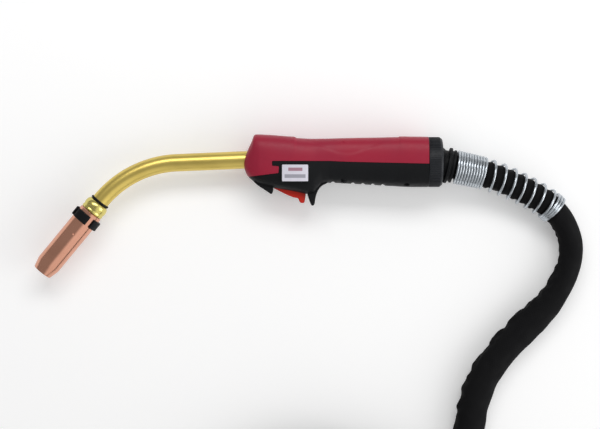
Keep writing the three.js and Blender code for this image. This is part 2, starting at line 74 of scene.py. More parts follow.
def makeCamera():
    data = bpy.data.cameras.new("overhead")
    data.sensor_width = camera["sensor"]
    data.lens = camera["sensor"] * camera["height"] / camera["width"]
    data.clip_end = 20
    seen = bpy.data.objects.new("overhead", data)
    seen.location = at(*camera["centre"], camera["height"])
    bpy.context.scene.collection.objects.link(seen)
    bpy.context.scene.camera = seen


makeCamera()


# small helpers for curves and meshes
def lerp(a, b, t):
    return a + (b - a) * t


def ease(low, high, x):
    t = min(max((x - low) / (high - low), 0.0), 1.0)
    return t * t * (3 - 2 * t)


def curveValue(table, x):
    # a smooth curve through (x, value) pairs that never overshoots between them
    if x <= table[0][0]:
        return table[0][1]
    if x >= table[-1][0]:
        return table[-1][1]
    i = max(k for k in range(len(table) - 1) if table[k][0] <= x)

    def slope(k):
        return (table[k + 1][1] - table[k][1]) / (table[k + 1][0] - table[k][0])

    def bend(k):
        if k == 0:
            return slope(0)
        if k == len(table) - 1:
            return slope(k - 1)
        a, b = slope(k - 1), slope(k)
        return 0.0 if a * b <= 0 else 2 * a * b / (a + b)

    width = table[i + 1][0] - table[i][0]
    t = (x - table[i][0]) / width
    low, high = table[i][1], table[i + 1][1]
    a, b = bend(i) * width, bend(i + 1) * width
    return (
        low * (1 + 2 * t) * (1 - t) ** 2
        + a * t * (1 - t) ** 2
        + high * t * t * (3 - 2 * t)
        + b * t * t * (t - 1)
    )


def smoothRoute(points, spacing):
    # centripetal Catmull-Rom through the points, at about even spacing
    points = [Vector(p) for p in points]
    ends = [2 * points[0] - points[1], *points, 2 * points[-1] - points[-2]]
    dense = []
    for a, b, c, d in zip(ends, ends[1:], ends[2:], ends[3:]):
        times = [0.0]
        for p, q in ((a, b), (b, c), (c, d)):
            times.append(times[-1] + max((q - p).length, 1e-6) ** 0.5)
        t0, t1, t2, t3 = times
        pieces = max(4, int((c - b).length / spacing * 3))
        for k in range(pieces):
            t = lerp(t1, t2, k / pieces)
            ab = a.lerp(b, (t - t0) / (t1 - t0))
            bc = b.lerp(c, (t - t1) / (t2 - t1))
            cd = c.lerp(d, (t - t2) / (t3 - t2))
            abc = ab.lerp(bc, (t - t0) / (t2 - t0))
            bcd = bc.lerp(cd, (t - t1) / (t3 - t1))
            dense.append(abc.lerp(bcd, (t - t1) / (t2 - t1)))
    dense.append(points[-1])
    return dense


class Route:
    # a polyline that is read by the distance along it
    def __init__(self, points):
        self.points = points
        self.marks = [0.0]
        for a, b in zip(points, points[1:]):
            self.marks.append(self.marks[-1] + (b - a).length)
        self.length = self.marks[-1]
        self.hint = 0

    def place(self, distance):
        distance = min(max(distance, 0.0), self.length)
        i = self.hint
        while i > 0 and self.marks[i] > distance:
            i -= 1
        while i < len(self.points) - 2 and self.marks[i + 1] < distance:
            i += 1
        self.hint = i
        span = max(self.marks[i + 1] - self.marks[i], 1e-9)
        return self.points[i].lerp(self.points[i + 1], (distance - self.marks[i]) / span)

    def heading(self, distance, reach=0.8):
        return (self.place(distance + reach) - self.place(distance - reach)).normalized()


def finishMesh(name, bm, sharpAngle=38):
    # turns a bmesh in millimetres into a placed object with crisp and soft edges
    bm.normal_update()
    limit = math.radians(sharpAngle)
    for edge in bm.edges:
        edge.smooth = not (len(edge.link_faces) == 2 and edge.calc_face_angle(0) > limit)
    for face in bm.faces:
        face.smooth = True
    mesh = bpy.data.meshes.new(name)
    bm.to_mesh(mesh)
    bm.free()
    mesh.transform(Matrix.Translation(rearFace) @ Matrix.Scale(mm, 4))
    piece = bpy.data.objects.new(name, mesh)
    bpy.context.scene.collection.objects.link(piece)
    return piece


def dress(piece, body, material, slot, *nodes):
    # puts a finished piece on its body, in place of the plain nodes
    if material.name not in piece.data.materials:
        piece.data.materials.append(material)
    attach(piece, body)
    if nodes:
        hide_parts(*nodes)
    return piece


def rounded(profile, radius, steps=4, closed=False):
    # a profile of (radius, distance) points with its corners turned into arcs
    points = [Vector(p) for p in profile]
    count = len(points)
    out = []
    for i, p in enumerate(points):
        if not closed and i in (0, count - 1):
            out.append(p)
            continue
        before, after = points[i - 1], points[(i + 1) % count]
        a, b = before - p, after - p
        reach = min(radius, 0.45 * a.length, 0.45 * b.length)
        if reach < 1e-4 or a.length < 1e-6 or b.length < 1e-6:
            out.append(p)
            continue
        start, end = p + a.normalized() * reach, p + b.normalized() * reach
        for k in range(steps + 1):
            t = k / steps
            out.append(start * (1 - t) ** 2 + p * 2 * t * (1 - t) + end * t * t)
    return [tuple(p) for p in out]


def axisFrame(axis):
    # an axis with two directions square to it
    axis = Vector(axis).normalized()
    side = axis.cross(up) if abs(axis.z) < 0.9 else axis.cross(Vector((1, 0, 0)))
    side.normalize()
    return axis, side, axis.cross(side)


def spinMesh(profile, start, axis, sides=96, closed=False, shape=None):
    # a profile spun round an axis; shape(angle, radius, distance) may change a radius
    axis, side, lift = axisFrame(axis)
    start = Vector(start)
    bm = bmesh.new()
    uv = bm.loops.layers.uv.new("surface")
    rings = []
    for r, t in profile:
        ring = []
        if r < 1e-6:
            ring = [bm.verts.new(start + axis * t)] * sides
        else:
            for k in range(sides):
                angle = 2 * math.pi * k / sides
                radius = shape(angle, r, t) if shape else r
                spoke = side * math.cos(angle) + lift * math.sin(angle)
                ring.append(bm.verts.new(start + axis * t + spoke * radius))
        rings.append(ring)
    run = [0.0]
    for (r0, t0), (r1, t1) in zip(profile, profile[1:]):
        run.append(run[-1] + math.hypot(r1 - r0, t1 - t0))
    pairs = list(range(len(profile) - 1)) + ([len(profile) - 1] if closed else [])
    for i in pairs:
        j = (i + 1) % len(profile)
        for k in range(sides):
            corners = [rings[i][k], rings[i][(k + 1) % sides], rings[j][(k + 1) % sides], rings[j][k]]
            spots = [(k, i), (k + 1, i), (k + 1, j), (k, j)]
            kept = [(v, s) for n, (v, s) in enumerate(zip(corners, spots)) if v not in corners[:n]]
            if len(kept) < 3:
                continue
            face = bm.faces.new([v for v, _ in kept])
            for loop, (_, (around, ring)) in zip(face.loops, kept):
                loop[uv].uv = (around / sides, run[min(ring, len(run) - 1)] * mm)
    bmesh.ops.recalc_face_normals(bm, faces=bm.faces)
    return bm


def turned(name, profile, start, axis, sides=96, closed=False, shape=None, soften=0.5, steps=4):
    # a profile with softened corners, spun and placed
    softened = rounded(profile, soften, steps, closed)
    return finishMesh(name, spinMesh(softened, start, axis, sides, closed, shape))


def bar(name, radius, low, high, place, axis, sides=40):
    # a plain round bar from low to high along an axis, for cutting and joining
    profile = [(0, low), (radius, low), (radius, high), (0, high)]
    return turned(name, profile, place, axis, sides, soften=0)


def sweepMesh(route, distances, radiusAt, sides):
    # a tube along a route; radiusAt(distance, angle) gives its sideways and upward radii
    bm = bmesh.new()
    uv = bm.loops.layers.uv.new("surface")
    rings = []
    for s in distances:
        heading = route.heading(s)
        side = up.cross(heading).normalized()
        lift = heading.cross(side)
        centre = route.place(s)
        ring = []
        for k in range(sides):
            angle = 2 * math.pi * k / sides
            wide, high = radiusAt(s, angle)
            reach = side * math.cos(angle) * wide + lift * math.sin(angle) * high
            ring.append(bm.verts.new(centre + reach))
        rings.append(ring)
    for i in range(len(rings) - 1):
        for k in range(sides):
            n = (k + 1) % sides
            face = bm.faces.new([rings[i][k], rings[i][n], rings[i + 1][n], rings[i + 1][k]])
            for loop, spot in zip(face.loops, [(k, i), (k + 1, i), (k + 1, i + 1), (k, i + 1)]):
                loop[uv].uv = (spot[0] / sides, distances[spot[1]] * mm)
    for ring in (rings[0], rings[-1]):
        face = bm.faces.new(ring)
        for loop in face.loops:
            loop[uv].uv = (0.5, 0)
    bmesh.ops.recalc_face_normals(bm, faces=bm.faces)
    return bm


def slabMesh(outline, low, high, bevel=0.0):
    # an outline in X and Y, as thick as from low to high
    bm = bmesh.new()
    lower = [bm.verts.new((x, y, low)) for x, y in outline]
    upper = [bm.verts.new((x, y, high)) for x, y in outline]
    bm.faces.new(lower)
    bm.faces.new(upper)
    for k in range(len(outline)):
        n = (k + 1) % len(outline)
        bm.faces.new([lower[k], lower[n], upper[n], upper[k]])
    bmesh.ops.recalc_face_normals(bm, faces=bm.faces)
    if bevel:
        rims = [e for e in bm.edges if abs(e.verts[0].co.z - e.verts[1].co.z) < 1e-6]
        bmesh.ops.bevel(
            bm, geom=rims, offset=bevel, segments=3, profile=0.5, affect="EDGES", clamp_overlap=True
        )
        bmesh.ops.remove_doubles(bm, verts=bm.verts, dist=0.01)
        bmesh.ops.recalc_face_normals(bm, faces=bm.faces)
    return bm


def combine(piece, tool, operation):
    # joins to or cuts from a piece, and throws the tool away
    change = piece.modifiers.new("change", "BOOLEAN")
    change.operation = operation
    change.solver = "EXACT"
    change.object = tool
    evaluated = piece.evaluated_get(bpy.context.evaluated_depsgraph_get())
    mesh = bpy.data.meshes.new_from_object(evaluated)
    piece.modifiers.clear()
    old = piece.data
    piece.data = mesh
    bpy.data.meshes.remove(old)
    bpy.data.objects.remove(tool)
    return piece


def resharpen(piece, sharpAngle=38):
    # welds a piece after cuts and marks its crisp edges again
    bm = bmesh.new()
    bm.from_mesh(piece.data)
    bmesh.ops.remove_doubles(bm, verts=bm.verts, dist=2e-6)
    bmesh.ops.dissolve_degenerate(bm, edges=bm.edges, dist=1e-6)
    limit = math.radians(sharpAngle)
    for edge in bm.edges:
        edge.smooth = not (len(edge.link_faces) == 2 and edge.calc_face_angle(0) > limit)
    for face in bm.faces:
        face.smooth = True
    bm.to_mesh(piece.data)
    bm.free()
    return piece


# shader kit
class Value:
    # a number inside a material, used in ordinary arithmetic
    def __init__(self, shader, socket):
        self.shader = shader
        self.socket = socket

    def math(self, operation, *others):
        node = self.shader.tree.nodes.new("ShaderNodeMath")
        node.operation = operation
        for i, term in enumerate((self, *others)):
            self.shader.plug(node.inputs[i], term)
        return Value(self.shader, node.outputs[0])

    def __add__(self, other):
        return self.math("ADD", other)

    def __sub__(self, other):
        return self.math("SUBTRACT", other)

    def __mul__(self, other):
        return self.math("MULTIPLY", other)

    def __truediv__(self, other):
        return self.math("DIVIDE", other)

    def __rsub__(self, other):
        return (self * -1).math("ADD", other)

    __radd__ = __add__
    __rmul__ = __mul__


class Shader:
    # one procedural material built round a principled surface
    def __init__(self, name, color, metallic=0.0, roughness=0.5, **surface):
        self.material = bpy.data.materials.new(name)
        self.material.use_nodes = True
        self.tree = self.material.node_tree
        self.surface = self.tree.nodes["Principled BSDF"]
        self.material.diffuse_color = (*color, 1)
        self.set("Base Color", (*color, 1))
        self.set("Metallic", metallic)
        self.set("Roughness", roughness)
        for key, value in surface.items():
            self.set(key.replace("_", " "), value)

    def set(self, name, value):
        self.plug(self.surface.inputs[name], value)

    def plug(self, socket, value):
        if isinstance(value, Value):
            self.tree.links.new(value.socket, socket)
        elif isinstance(value, bpy.types.NodeSocket):
            self.tree.links.new(value, socket)
        else:
            socket.default_value = value

    def node(self, kind, settings, inputs):
        node = self.tree.nodes.new(kind)
        for key, value in settings.items():
            setattr(node, key, value)
        for key, value in inputs.items():
            self.plug(node.inputs[key], value)
        return node

    def place(self):
        return self.node("ShaderNodeTexCoord", {}, {}).outputs["Object"]

    def surfaceUv(self, stretch=(1, 1, 1)):
        spot = self.node("ShaderNodeUVMap", {"uv_map": "surface"}, {}).outputs[0]
        return self.node("ShaderNodeMapping", {}, {"Vector": spot, "Scale": stretch}).outputs[0]

    def noise(self, scale, detail=3.0, where=None):
        inputs = {"Scale": scale, "Detail": detail, "Vector": where or self.place()}
        return Value(self, self.node("ShaderNodeTexNoise", {}, inputs).outputs["Fac"])

    def cells(self, scale):
        inputs = {"Scale": scale, "Vector": self.place()}
        return Value(self, self.node("ShaderNodeTexVoronoi", {}, inputs).outputs["Distance"])

    def parts(self, vector):
        node = self.node("ShaderNodeSeparateXYZ", {}, {"Vector": vector})
        return [Value(self, out) for out in node.outputs]

    def ramp(self, value, low, high, start=0.0, end=1.0):
        inputs = {"Value": value, "From Min": low, "From Max": high, "To Min": start, "To Max": end}
        settings = {"interpolation_type": "SMOOTHSTEP"}
        return Value(self, self.node("ShaderNodeMapRange", settings, inputs).outputs[0])

    def mix(self, factor, a, b):
        node = self.tree.nodes.new("ShaderNodeMix")
        node.data_type = "RGBA"
        self.plug(node.inputs[0], factor)
        for socket, color in ((node.inputs[6], a), (node.inputs[7], b)):
            self.plug(socket, (*color, 1) if isinstance(color, tuple) and len(color) == 3 else color)
        return node.outputs[2]

    def bump(self, height, depth, strength=1.0):
        inputs = {"Height": height, "Distance": depth * mm, "Strength": strength}
        self.set("Normal", self.node("ShaderNodeBump", {}, inputs).outputs[0])


# materials
def makeMaterials():
    made = {}

    def keep(name, shader):
        made[name] = shader.material
        return shader

    # satin crimson plastic with a fine moulded grain and slight mottling
    s = Shader("crimson plastic", (0.34, 0.012, 0.04), roughness=0.42, Specular_IOR_Level=0.32)
    cloud = s.ramp(s.noise(26, 2), 0.35, 0.65)
    s.set("Base Color", s.mix(cloud * 0.5, (0.35, 0.011, 0.037), (0.3, 0.012, 0.04)))
    s.set("Roughness", s.ramp(s.noise(420, 2), 0.3, 0.7, 0.4, 0.5))
    s.bump(s.noise(1500, 2), 0.03, 0.35)
    keep("red", s)

    # matte black moulded plastic with a leather-like grain
    s = Shader("black plastic", (0.005, 0.0055, 0.0065), roughness=0.55, Specular_IOR_Level=0.16)
    grain = s.ramp(s.cells(900), 0.0, 0.6)
    s.set("Base Color", s.mix(s.noise(60, 3) * 0.7, (0.0035, 0.004, 0.005), (0.008, 0.0085, 0.0095)))
    s.set("Roughness", s.ramp(s.noise(300, 3), 0.3, 0.7, 0.48, 0.62))
    s.bump(grain + s.noise(2200, 2) * 0.5, 0.05, 0.5)
    keep("black", s)

    s = Shader("collar plastic", (0.012, 0.0135, 0.017), roughness=0.45, Specular_IOR_Level=0.3)
    s.set("Base Color", s.mix(s.noise(90, 3), (0.009, 0.0105, 0.014), (0.017, 0.019, 0.023)))
    s.set("Roughness", s.ramp(s.noise(300, 3), 0.3, 0.7, 0.38, 0.52))
    s.bump(s.noise(1800, 2), 0.04, 0.4)
    keep("collar", s)

    s = Shader("trigger plastic", (0.58, 0.02, 0.008), roughness=0.38, Specular_IOR_Level=0.3)
    s.set("Base Color", s.mix(s.noise(90, 2), (0.6, 0.022, 0.009), (0.5, 0.017, 0.008)))
    s.bump(s.noise(1500, 2), 0.03, 0.3)
    keep("trigger", s)

    # drawn copper: fine lines round the barrel, light tarnish in scattered patches
    s = Shader("polished copper", (0.72, 0.36, 0.25), metallic=1.0, roughness=0.16)
    lines = s.noise(30, 3, s.surfaceUv((0.25, 45, 1)))
    stain = s.ramp(s.noise(45, 3), 0.45, 0.75)
    s.set("Base Color", s.mix(stain * 0.4, (0.72, 0.36, 0.25), (0.55, 0.26, 0.17)))
    s.set("Roughness", s.ramp(lines, 0.3, 0.7, 0.12, 0.2) + stain * 0.04)
    s.bump(lines, 0.006, 0.2)
    keep("copper", s)

    # lacquered brass tube with fine draw lines along it
    s = Shader("neck brass", (0.72, 0.55, 0.15), metallic=1.0, roughness=0.36)
    draw = s.noise(20, 3, s.surfaceUv((40, 5, 1)))
    patch = s.ramp(s.noise(30, 3), 0.4, 0.7)
    s.set("Base Color", s.mix(patch * 0.5, (0.74, 0.57, 0.155), (0.6, 0.45, 0.11)))
    s.set("Roughness", s.ramp(draw, 0.3, 0.7, 0.3, 0.42))
    s.bump(draw, 0.008, 0.2)
    keep("neck_brass", s)

    s = Shader("turned brass", (0.72, 0.63, 0.2), metallic=1.0, roughness=0.26)
    rings = s.noise(30, 3, s.surfaceUv((0.4, 260, 1)))
    s.set("Base Color", s.mix(s.noise(90, 3) * 0.5, (0.74, 0.64, 0.2), (0.55, 0.46, 0.13)))
    s.set("Roughness", s.ramp(rings, 0.3, 0.7, 0.16, 0.3))
    s.bump(rings, 0.02, 0.3)
    keep("brass", s)

    # bright zinc-plated steel
    s = Shader("zinc", (0.52, 0.56, 0.6), metallic=1.0, roughness=0.28)
    spangle = s.cells(260)
    s.set("Base Color", s.mix(s.ramp(spangle, 0.1, 0.7) * 0.4, (0.56, 0.6, 0.64), (0.4, 0.43, 0.46)))
    s.set("Roughness", s.ramp(s.noise(240, 3), 0.3, 0.7, 0.2, 0.36))
    s.bump(s.noise(700, 3), 0.02, 0.3)
    keep("zinc", s)

    # synthetic rubber, softly mottled
    s = Shader("rubber", (0.007, 0.007, 0.0075), roughness=0.62, Specular_IOR_Level=0.2)
    s.set("Base Color", s.mix(s.noise(80, 3) * 0.7, (0.005, 0.005, 0.0055), (0.011, 0.011, 0.012)))
    s.set("Roughness", s.ramp(s.noise(200, 3), 0.3, 0.7, 0.55, 0.7))
    s.bump(s.noise(900, 3), 0.05, 0.4)
    keep("rubber", s)

    s = Shader("blue hose", (0.02, 0.07, 0.32), roughness=0.4)
    s.set("Base Color", s.mix(s.noise(120, 2), (0.018, 0.06, 0.3), (0.03, 0.09, 0.36)))
    keep("blue_hose", s)

    s = Shader("red hose", (0.4, 0.02, 0.018), roughness=0.4)
    s.set("Base Color", s.mix(s.noise(120, 2), (0.36, 0.016, 0.016), (0.44, 0.03, 0.02)))
    keep("red_hose", s)
    return made


finish = makeMaterials()


# cable, coil, tail and its far end
cable = {
    "diameter": 24,
    "length": 3.0,
    "sleeveSides": 40,
    "restHeight": 12.1,
    "outerRing": 132,
    "innerRing": 108,
    "upperHeight": 36.3,
    "valleyHeight": 33.4,
    "coilCentre": (-104.6, -420),
    "coilTurn": 1170,
    "coilStep": 6,
    "ties": (140, 215),
}
cableRoute = [
    (12.5, -4.78, 0), (25.2, -7.48, 0), (38.8, -10.5, -0.3), (56.6, -16.2, -1.4), (67.7, -20.8, -2.4),
    (78.9, -26.1, -3.5), (90.1, -31.7, -4.8), (99.4, -37.1, -6), (107.2, -42.2, -7),
    (114.6, -48.6, -8.2), (122.7, -59, -9.6), (129.5, -74.2, -11.2), (131.6, -87.3, -12.2),
    (130.2, -100.4, -12.9), (126.2, -113.1, -12.9), (119.6, -126.6, -12.9), (110, -140.2, -12.9),
    (95.7, -155.9, -12.9), (79.5, -172, -12.9), (62.8, -189.6, -12.9), (47.5, -210, -12.9),
    (36.5, -234, -12.9), (30, -262, -12.9), (27.6, -295, -12.9), (27.4, -335, -12.9),
    (27.4, -378, -12.9),
]
tailRoute = [
    (-134, -551.6, 12.4), (-164, -549.5, 13.2), (-192, -546, 9.4), (-216, -542.4, 2.5),
    (-238, -540.4, -1.4), (-253, -540, -2),
]
connectorStart = (-252.3, -540, -2)
# ring radius and height above the table, by the degrees the cable has come round the coil
ringRadius = [
    (0, "outerRing"), (300, "outerRing"), (360, "innerRing"), (810, "innerRing"), (870, 120), (930, 120),
    (975, "outerRing"), (1170, "outerRing"),
]
ringHeight = [
    (0, "restHeight"), (600, "restHeight"), (660, "upperHeight"), (810, "upperHeight"),
    (870, "valleyHeight"), (930, "valleyHeight"), (975, "upperHeight"), (1170, "upperHeight"),
]


def coilPoint(turned):
    def read(table):
        values = [(x, cable.get(y, y)) for x, y in table]
        for (x0, y0), (x1, y1) in zip(values, values[1:]):
            if x0 <= turned <= x1:
                return lerp(y0, y1, ease(x0, x1, turned)) if y0 != y1 else y0
        return values[-1][1]

    radius = read(ringRadius)
    angle = math.radians(-turned)
    cx, cy = cable["coilCentre"]
    return (cx + radius * math.cos(angle), cy + radius * math.sin(angle), tableZ + read(ringHeight))


coilPoints = [coilPoint(turned) for turned in range(0, cable["coilTurn"] + 1, cable["coilStep"])]
sleeveRoute = Route(smoothRoute([*cableRoute, *coilPoints, *tailRoute], 2.0))
coilStart = Route(smoothRoute(cableRoute, 2.0)).length
spring = {
    "wire": 1.25,
    "wireSides": 14,
    "start": 1.5,
    "frontRadius": 15.9,
    "endRadius": 14.65,
    "coils": ((10.6, 2.65), (7, 10.6), (3.5, 2.62)),
}
folds = {
    "springSwell": 1.2,
    "springRough": 0.75,
    "looseFrom": (185, 245),
    "looseTo": (60, 240),
    "flatten": 0.35,
    "looseWidth": 3.3,
    "looseSag": 0.7,
    "tuckHeight": 0.55,
    "fineWidth": 2.6,
    "fineHeight": 0.25,
    "pinch": 0.9,
    "pinchReach": 8,
}
(frontCoils, frontPitch), (openCoils, openPitch), _ = spring["coils"]
openFrom = spring["start"] + frontCoils * frontPitch
openTo = openFrom + openCoils * openPitch


def sleeveRadius(s, angle):
    radius = cable["diameter"] / 2
    if s < openFrom:
        return radius, radius
    side, lift = math.cos(angle), math.sin(angle)
    if s < openTo:
        phase = (s - openFrom) / openPitch
        swell = 0.5 - 0.5 * math.cos(2 * math.pi * phase)
        rough = noise.noise(Vector((s * 0.22, side * 1.6, lift * 1.6)))
        radius += folds["springSwell"] * swell + folds["springRough"] * rough * swell * (1.3 - side)
        return radius, radius
    # past the spring the sleeve hangs loose, with tucks on the inside of bends
    tightFrom, tightTo = (coilStart + reach for reach in folds["looseTo"])
    loose = ease(*folds["looseFrom"], s) * (1 - ease(tightFrom, tightTo, s))
    inner = (1 - side) / 2
    tuck = noise.noise(Vector((s * 0.062, side * 0.9, 3 + lift * 0.9)))
    fine = noise.noise(Vector((s * 0.13, side * 1.8, 9 + lift * 1.8)))
    pinch = 0.0
    for tie in tieDistances:
        pinch += math.exp(-((s - tie) / folds["pinchReach"]) ** 2)
    pinch *= folds["pinch"]
    wide = radius + folds["looseWidth"] * loose + tuck * (0.25 + loose) + folds["fineWidth"] * fine * inner
    high = radius - folds["flatten"] - folds["looseSag"] * loose
    high += folds["tuckHeight"] * tuck + folds["fineHeight"] * fine
    return wide - pinch, min(high - pinch, radius - 0.1)


def sleeveStations():
    marks, s = [], 0.0
    while s < sleeveRoute.length:
        marks.append(s)
        if s < coilStart - 120:
            s += 1.3
        else:
            s += 4.0
    return [*marks, sleeveRoute.length]


def coilDistance(turned):
    points = [Vector(p) for p in coilPoints[: int(turned / cable["coilStep"]) + 1]]
    lead = (Vector(coilPoints[0]) - Vector(cableRoute[-1])).length
    return coilStart + lead + sum((b - a).length for a, b in zip(points, points[1:]))


tieDistances = [coilDistance(360 * lap - tie) for tie in cable["ties"] for lap in (1, 2, 3)]


# woven black sleeve: a fine basket weave with long wrinkles, its colour lighter on the raised threads and
# along the wrinkle crests
def makeSleeveMaterial():
    s = Shader("woven sleeve", (0.006, 0.006, 0.0065), roughness=0.8, Specular_IOR_Level=0.1)
    u, v, _ = s.parts(s.surfaceUv())
    weft = (v * 2094).math("SINE")
    warp = (u * 2 * math.pi * 46).math("SINE")
    weave = (weft * warp) * 0.5 + 0.5
    folds = s.noise(1.0, 3, s.surfaceUv((9, 55, 1)))
    # colour lighter where the weave and the wrinkles stand highest, following the bump height
    crest_tone = weave * 0.45 + s.ramp(folds, 0.45, 0.8) * 0.4
    s.set("Base Color", s.mix(crest_tone, (0.0035, 0.0035, 0.004), (0.011, 0.011, 0.012)))
    s.set("Roughness", s.ramp(folds, 0.3, 0.7, 0.62, 0.85))
    s.bump(weave * 0.35 + folds * 1.1, 0.35, 0.6)
    return s.material


finish["sleeve"] = makeSleeveMaterial()
sleeveTube = sweepMesh(sleeveRoute, sleeveStations(), sleeveRadius, cable["sleeveSides"])
sleeve = finishMesh("cable_sleeve", sleeveTube, 60)
dress(sleeve, "root", finish["sleeve"], "sleeve", "cable_run", "cable_coil", "cable_tail")
print("sleeve", round(sleeveRoute.length), "mm long")


# ties round the coil: a black strap drawn tight over the three laps
strap = {"width": 18.0, "inside": 11.25, "outside": 12.75, "lift": 0.3, "sides": 96}


def makeTie(index, angle):
    cx, cy = cable["coilCentre"]
    centres = []
    for lap in (1, 2, 3):
        x, y, z = coilPoint(360 * lap - angle)
        centres.append((math.hypot(x - cx, y - cy), z))
    outward = Vector((math.cos(math.radians(angle)), math.sin(math.radians(angle)), 0))
    along = up.cross(outward)

    def outline(reach):
        rim = []
        for k in range(strap["sides"]):
            way = 2 * math.pi * k / strap["sides"]
            d = Vector((math.cos(way), math.sin(way)))
            best = max(centres, key=lambda c: c[0] * d.x + c[1] * d.y)
            rim.append((best[0] + d.x * reach, best[1] + d.y * reach))
        return rim

    bm = bmesh.new()
    loops = []
    half = strap["width"] / 2
    inside, outside = strap["inside"], strap["outside"]
    section = (
        (inside, -half), (inside, half), (outside - 0.4, half - 0.5), (outside, half - 1.4),
        (outside, 1.4 - half), (outside - 0.4, 0.5 - half),
    )
    for reach, edge in section:
        ring = []
        for r, z in outline(reach):
            spot = Vector((cx, cy, 0)) + outward * r + along * edge
            ring.append(bm.verts.new((spot.x, spot.y, max(z, tableZ + strap["lift"]))))
        loops.append(ring)
    for i in range(len(loops)):
        a, b = loops[i], loops[(i + 1) % len(loops)]
        for k in range(strap["sides"]):
            n = (k + 1) % strap["sides"]
            bm.faces.new([a[k], a[n], b[n], b[k]])
    bmesh.ops.recalc_face_normals(bm, faces=bm.faces)
    tie = finishMesh(f"coil_strap_{index}", bm, 50)
    return dress(tie, "root", finish["rubber"], "rubber", f"coil_tie_{index}")


ties = [makeTie(i + 1, angle) for i, angle in enumerate(cable["ties"])]


# the plug that the cable ends in: boot, housing, hand nut, brass block and its pins
plug = {
    "nutRibs": 24,
    "ribDepth": 0.95,
    "bootRings": 6,
    "pinSpread": 8.5,
    "pinDrop": 7.5,
    "gasPinRise": 10,
}


def makePlug():
    axis = (-1, 0, 0)
    bootProfile = [(11.6, 0), (14, 0), (14.4, 3)]
    for i in range(plug["bootRings"]):
        t = 5 + 4.6 * i
        r = 14.6 + 0.6 * i
        bootProfile += [(r, t), (r, t + 2.6), (r - 1.5, t + 3), (r - 1.5, t + 4.2)]
    bootProfile += [(18.4, 33.4), (19, 35), (19, 40), (11.6, 40)]
    boot = turned("plug_boot", bootProfile, connectorStart, axis, 72, closed=True, soften=0.6, steps=2)
    dress(boot, "root", finish["rubber"], "rubber", "connector_boot")
    housingProfile = [
        (11, 40.3), (20, 40.3), (21.4, 42), (22, 48), (22, 80), (21.4, 84), (16.2, 84), (16.2, 58),
        (11, 58),
    ]
    housing = turned("plug_housing", housingProfile, connectorStart, axis, 96, closed=True, soften=1.2)
    dress(housing, "root", finish["black"], "black", "connector_housing")

    def gripRib(angle, r, t):
        if r < 21.6 or not 86.5 < t < 106.5:
            return r
        return r - plug["ribDepth"] * (0.5 - 0.5 * math.cos(angle * plug["nutRibs"])) ** 2

    nutProfile = [
        (16.2, 84.4), (21, 84.4), (22.4, 85.6), (22.9, 87), (22.9, 106), (22.4, 107.4), (21.4, 108.6),
        (20.4, 108.6), (20.4, 99), (16.2, 99),
    ]
    nut = turned(
        "plug_nut", nutProfile, connectorStart, axis, 288, closed=True, shape=gripRib, soften=0.4, steps=3
    )
    dress(nut, "hand_nut", finish["black"], "black", "connector_nut")
    blockProfile = [(0, 62.3), (15.6, 62.3), (15.6, 110), (0, 110)]
    block = turned("plug_block", blockProfile, connectorStart, axis, 96, soften=0.8)
    for number, side in ((1, -1), (2, 1)):
        spot = Vector(connectorStart) + Vector((0, side * plug["pinSpread"], -plug["pinDrop"]))
        combine(block, bar("pin_bore", 2.3, 100, 120, spot, axis, 32), "DIFFERENCE")
        pinProfile = [(0, 104.5), (1.9, 104.5), (1.9, 117), (0, 117)]
        pin = turned(f"plug_pin_{number}", pinProfile, spot, axis, 40, soften=0.9)
        dress(pin, f"pin_{number}", finish["brass"], "brass", f"control_pin_{number}")
    resharpen(block)
    dress(block, "root", finish["brass"], "brass", "connector_block")
    tubeProfile = [
        (0, 110.05), (4.6, 110.05), (4.6, 113), (3.9, 113.2), (3.9, 114.8), (4.6, 115), (4.6, 128.3),
        (0, 128.3),
    ]
    tube = turned("plug_tube", tubeProfile, connectorStart, axis, 64, soften=0.3)
    dress(tube, "root", finish["brass"], "brass", "wire_inlet_tube")
    linerProfile = [(0, 128.6), (5.8, 128.6), (5.8, 135.3), (1.5, 135.3), (1.5, 130), (0, 130)]
    liner = turned("plug_liner_nut", linerProfile, connectorStart, axis, 6, soften=0.25, steps=1)
    dress(liner, "root", finish["brass"], "brass", "liner_nut")
    gasProfile = [(0, 110.05), (3, 110.05), (3, 118.2), (2.2, 119.3), (0, 119.3)]
    gasSpot = Vector(connectorStart) + Vector((0, 0, plug["gasPinRise"]))
    gas = turned("plug_gas_pin", gasProfile, gasSpot, axis, 48, soften=0.4)
    dress(gas, "root", finish["brass"], "brass", "gas_pin")
    return [boot, housing, nut, block, tube, liner, gas]


plugPieces = makePlug()
cablePath = [tuple(rearFace + p * mm) for p in sleeveRoute.points[::4]]
tuple(rearFace + sleeveRoute.points[-1] * mm)
print("cable and plug made")


# repeated and swept geometry, by geometry nodes
def newTree(name, sockets):
    tree = bpy.data.node_groups.new(name, "GeometryNodeTree")
    tree.interface.new_socket("Geometry", in_out="INPUT", socket_type="NodeSocketGeometry")
    for label, kind in sockets:
        tree.interface.new_socket(label, in_out="INPUT", socket_type=kind)
    tree.interface.new_socket("Geometry", in_out="OUTPUT", socket_type="NodeSocketGeometry")
    return tree, tree.nodes.new("NodeGroupInput"), tree.nodes.new("NodeGroupOutput")


def joinUp(tree, *pairs):
    for a, b in pairs:
        tree.links.new(a, b)


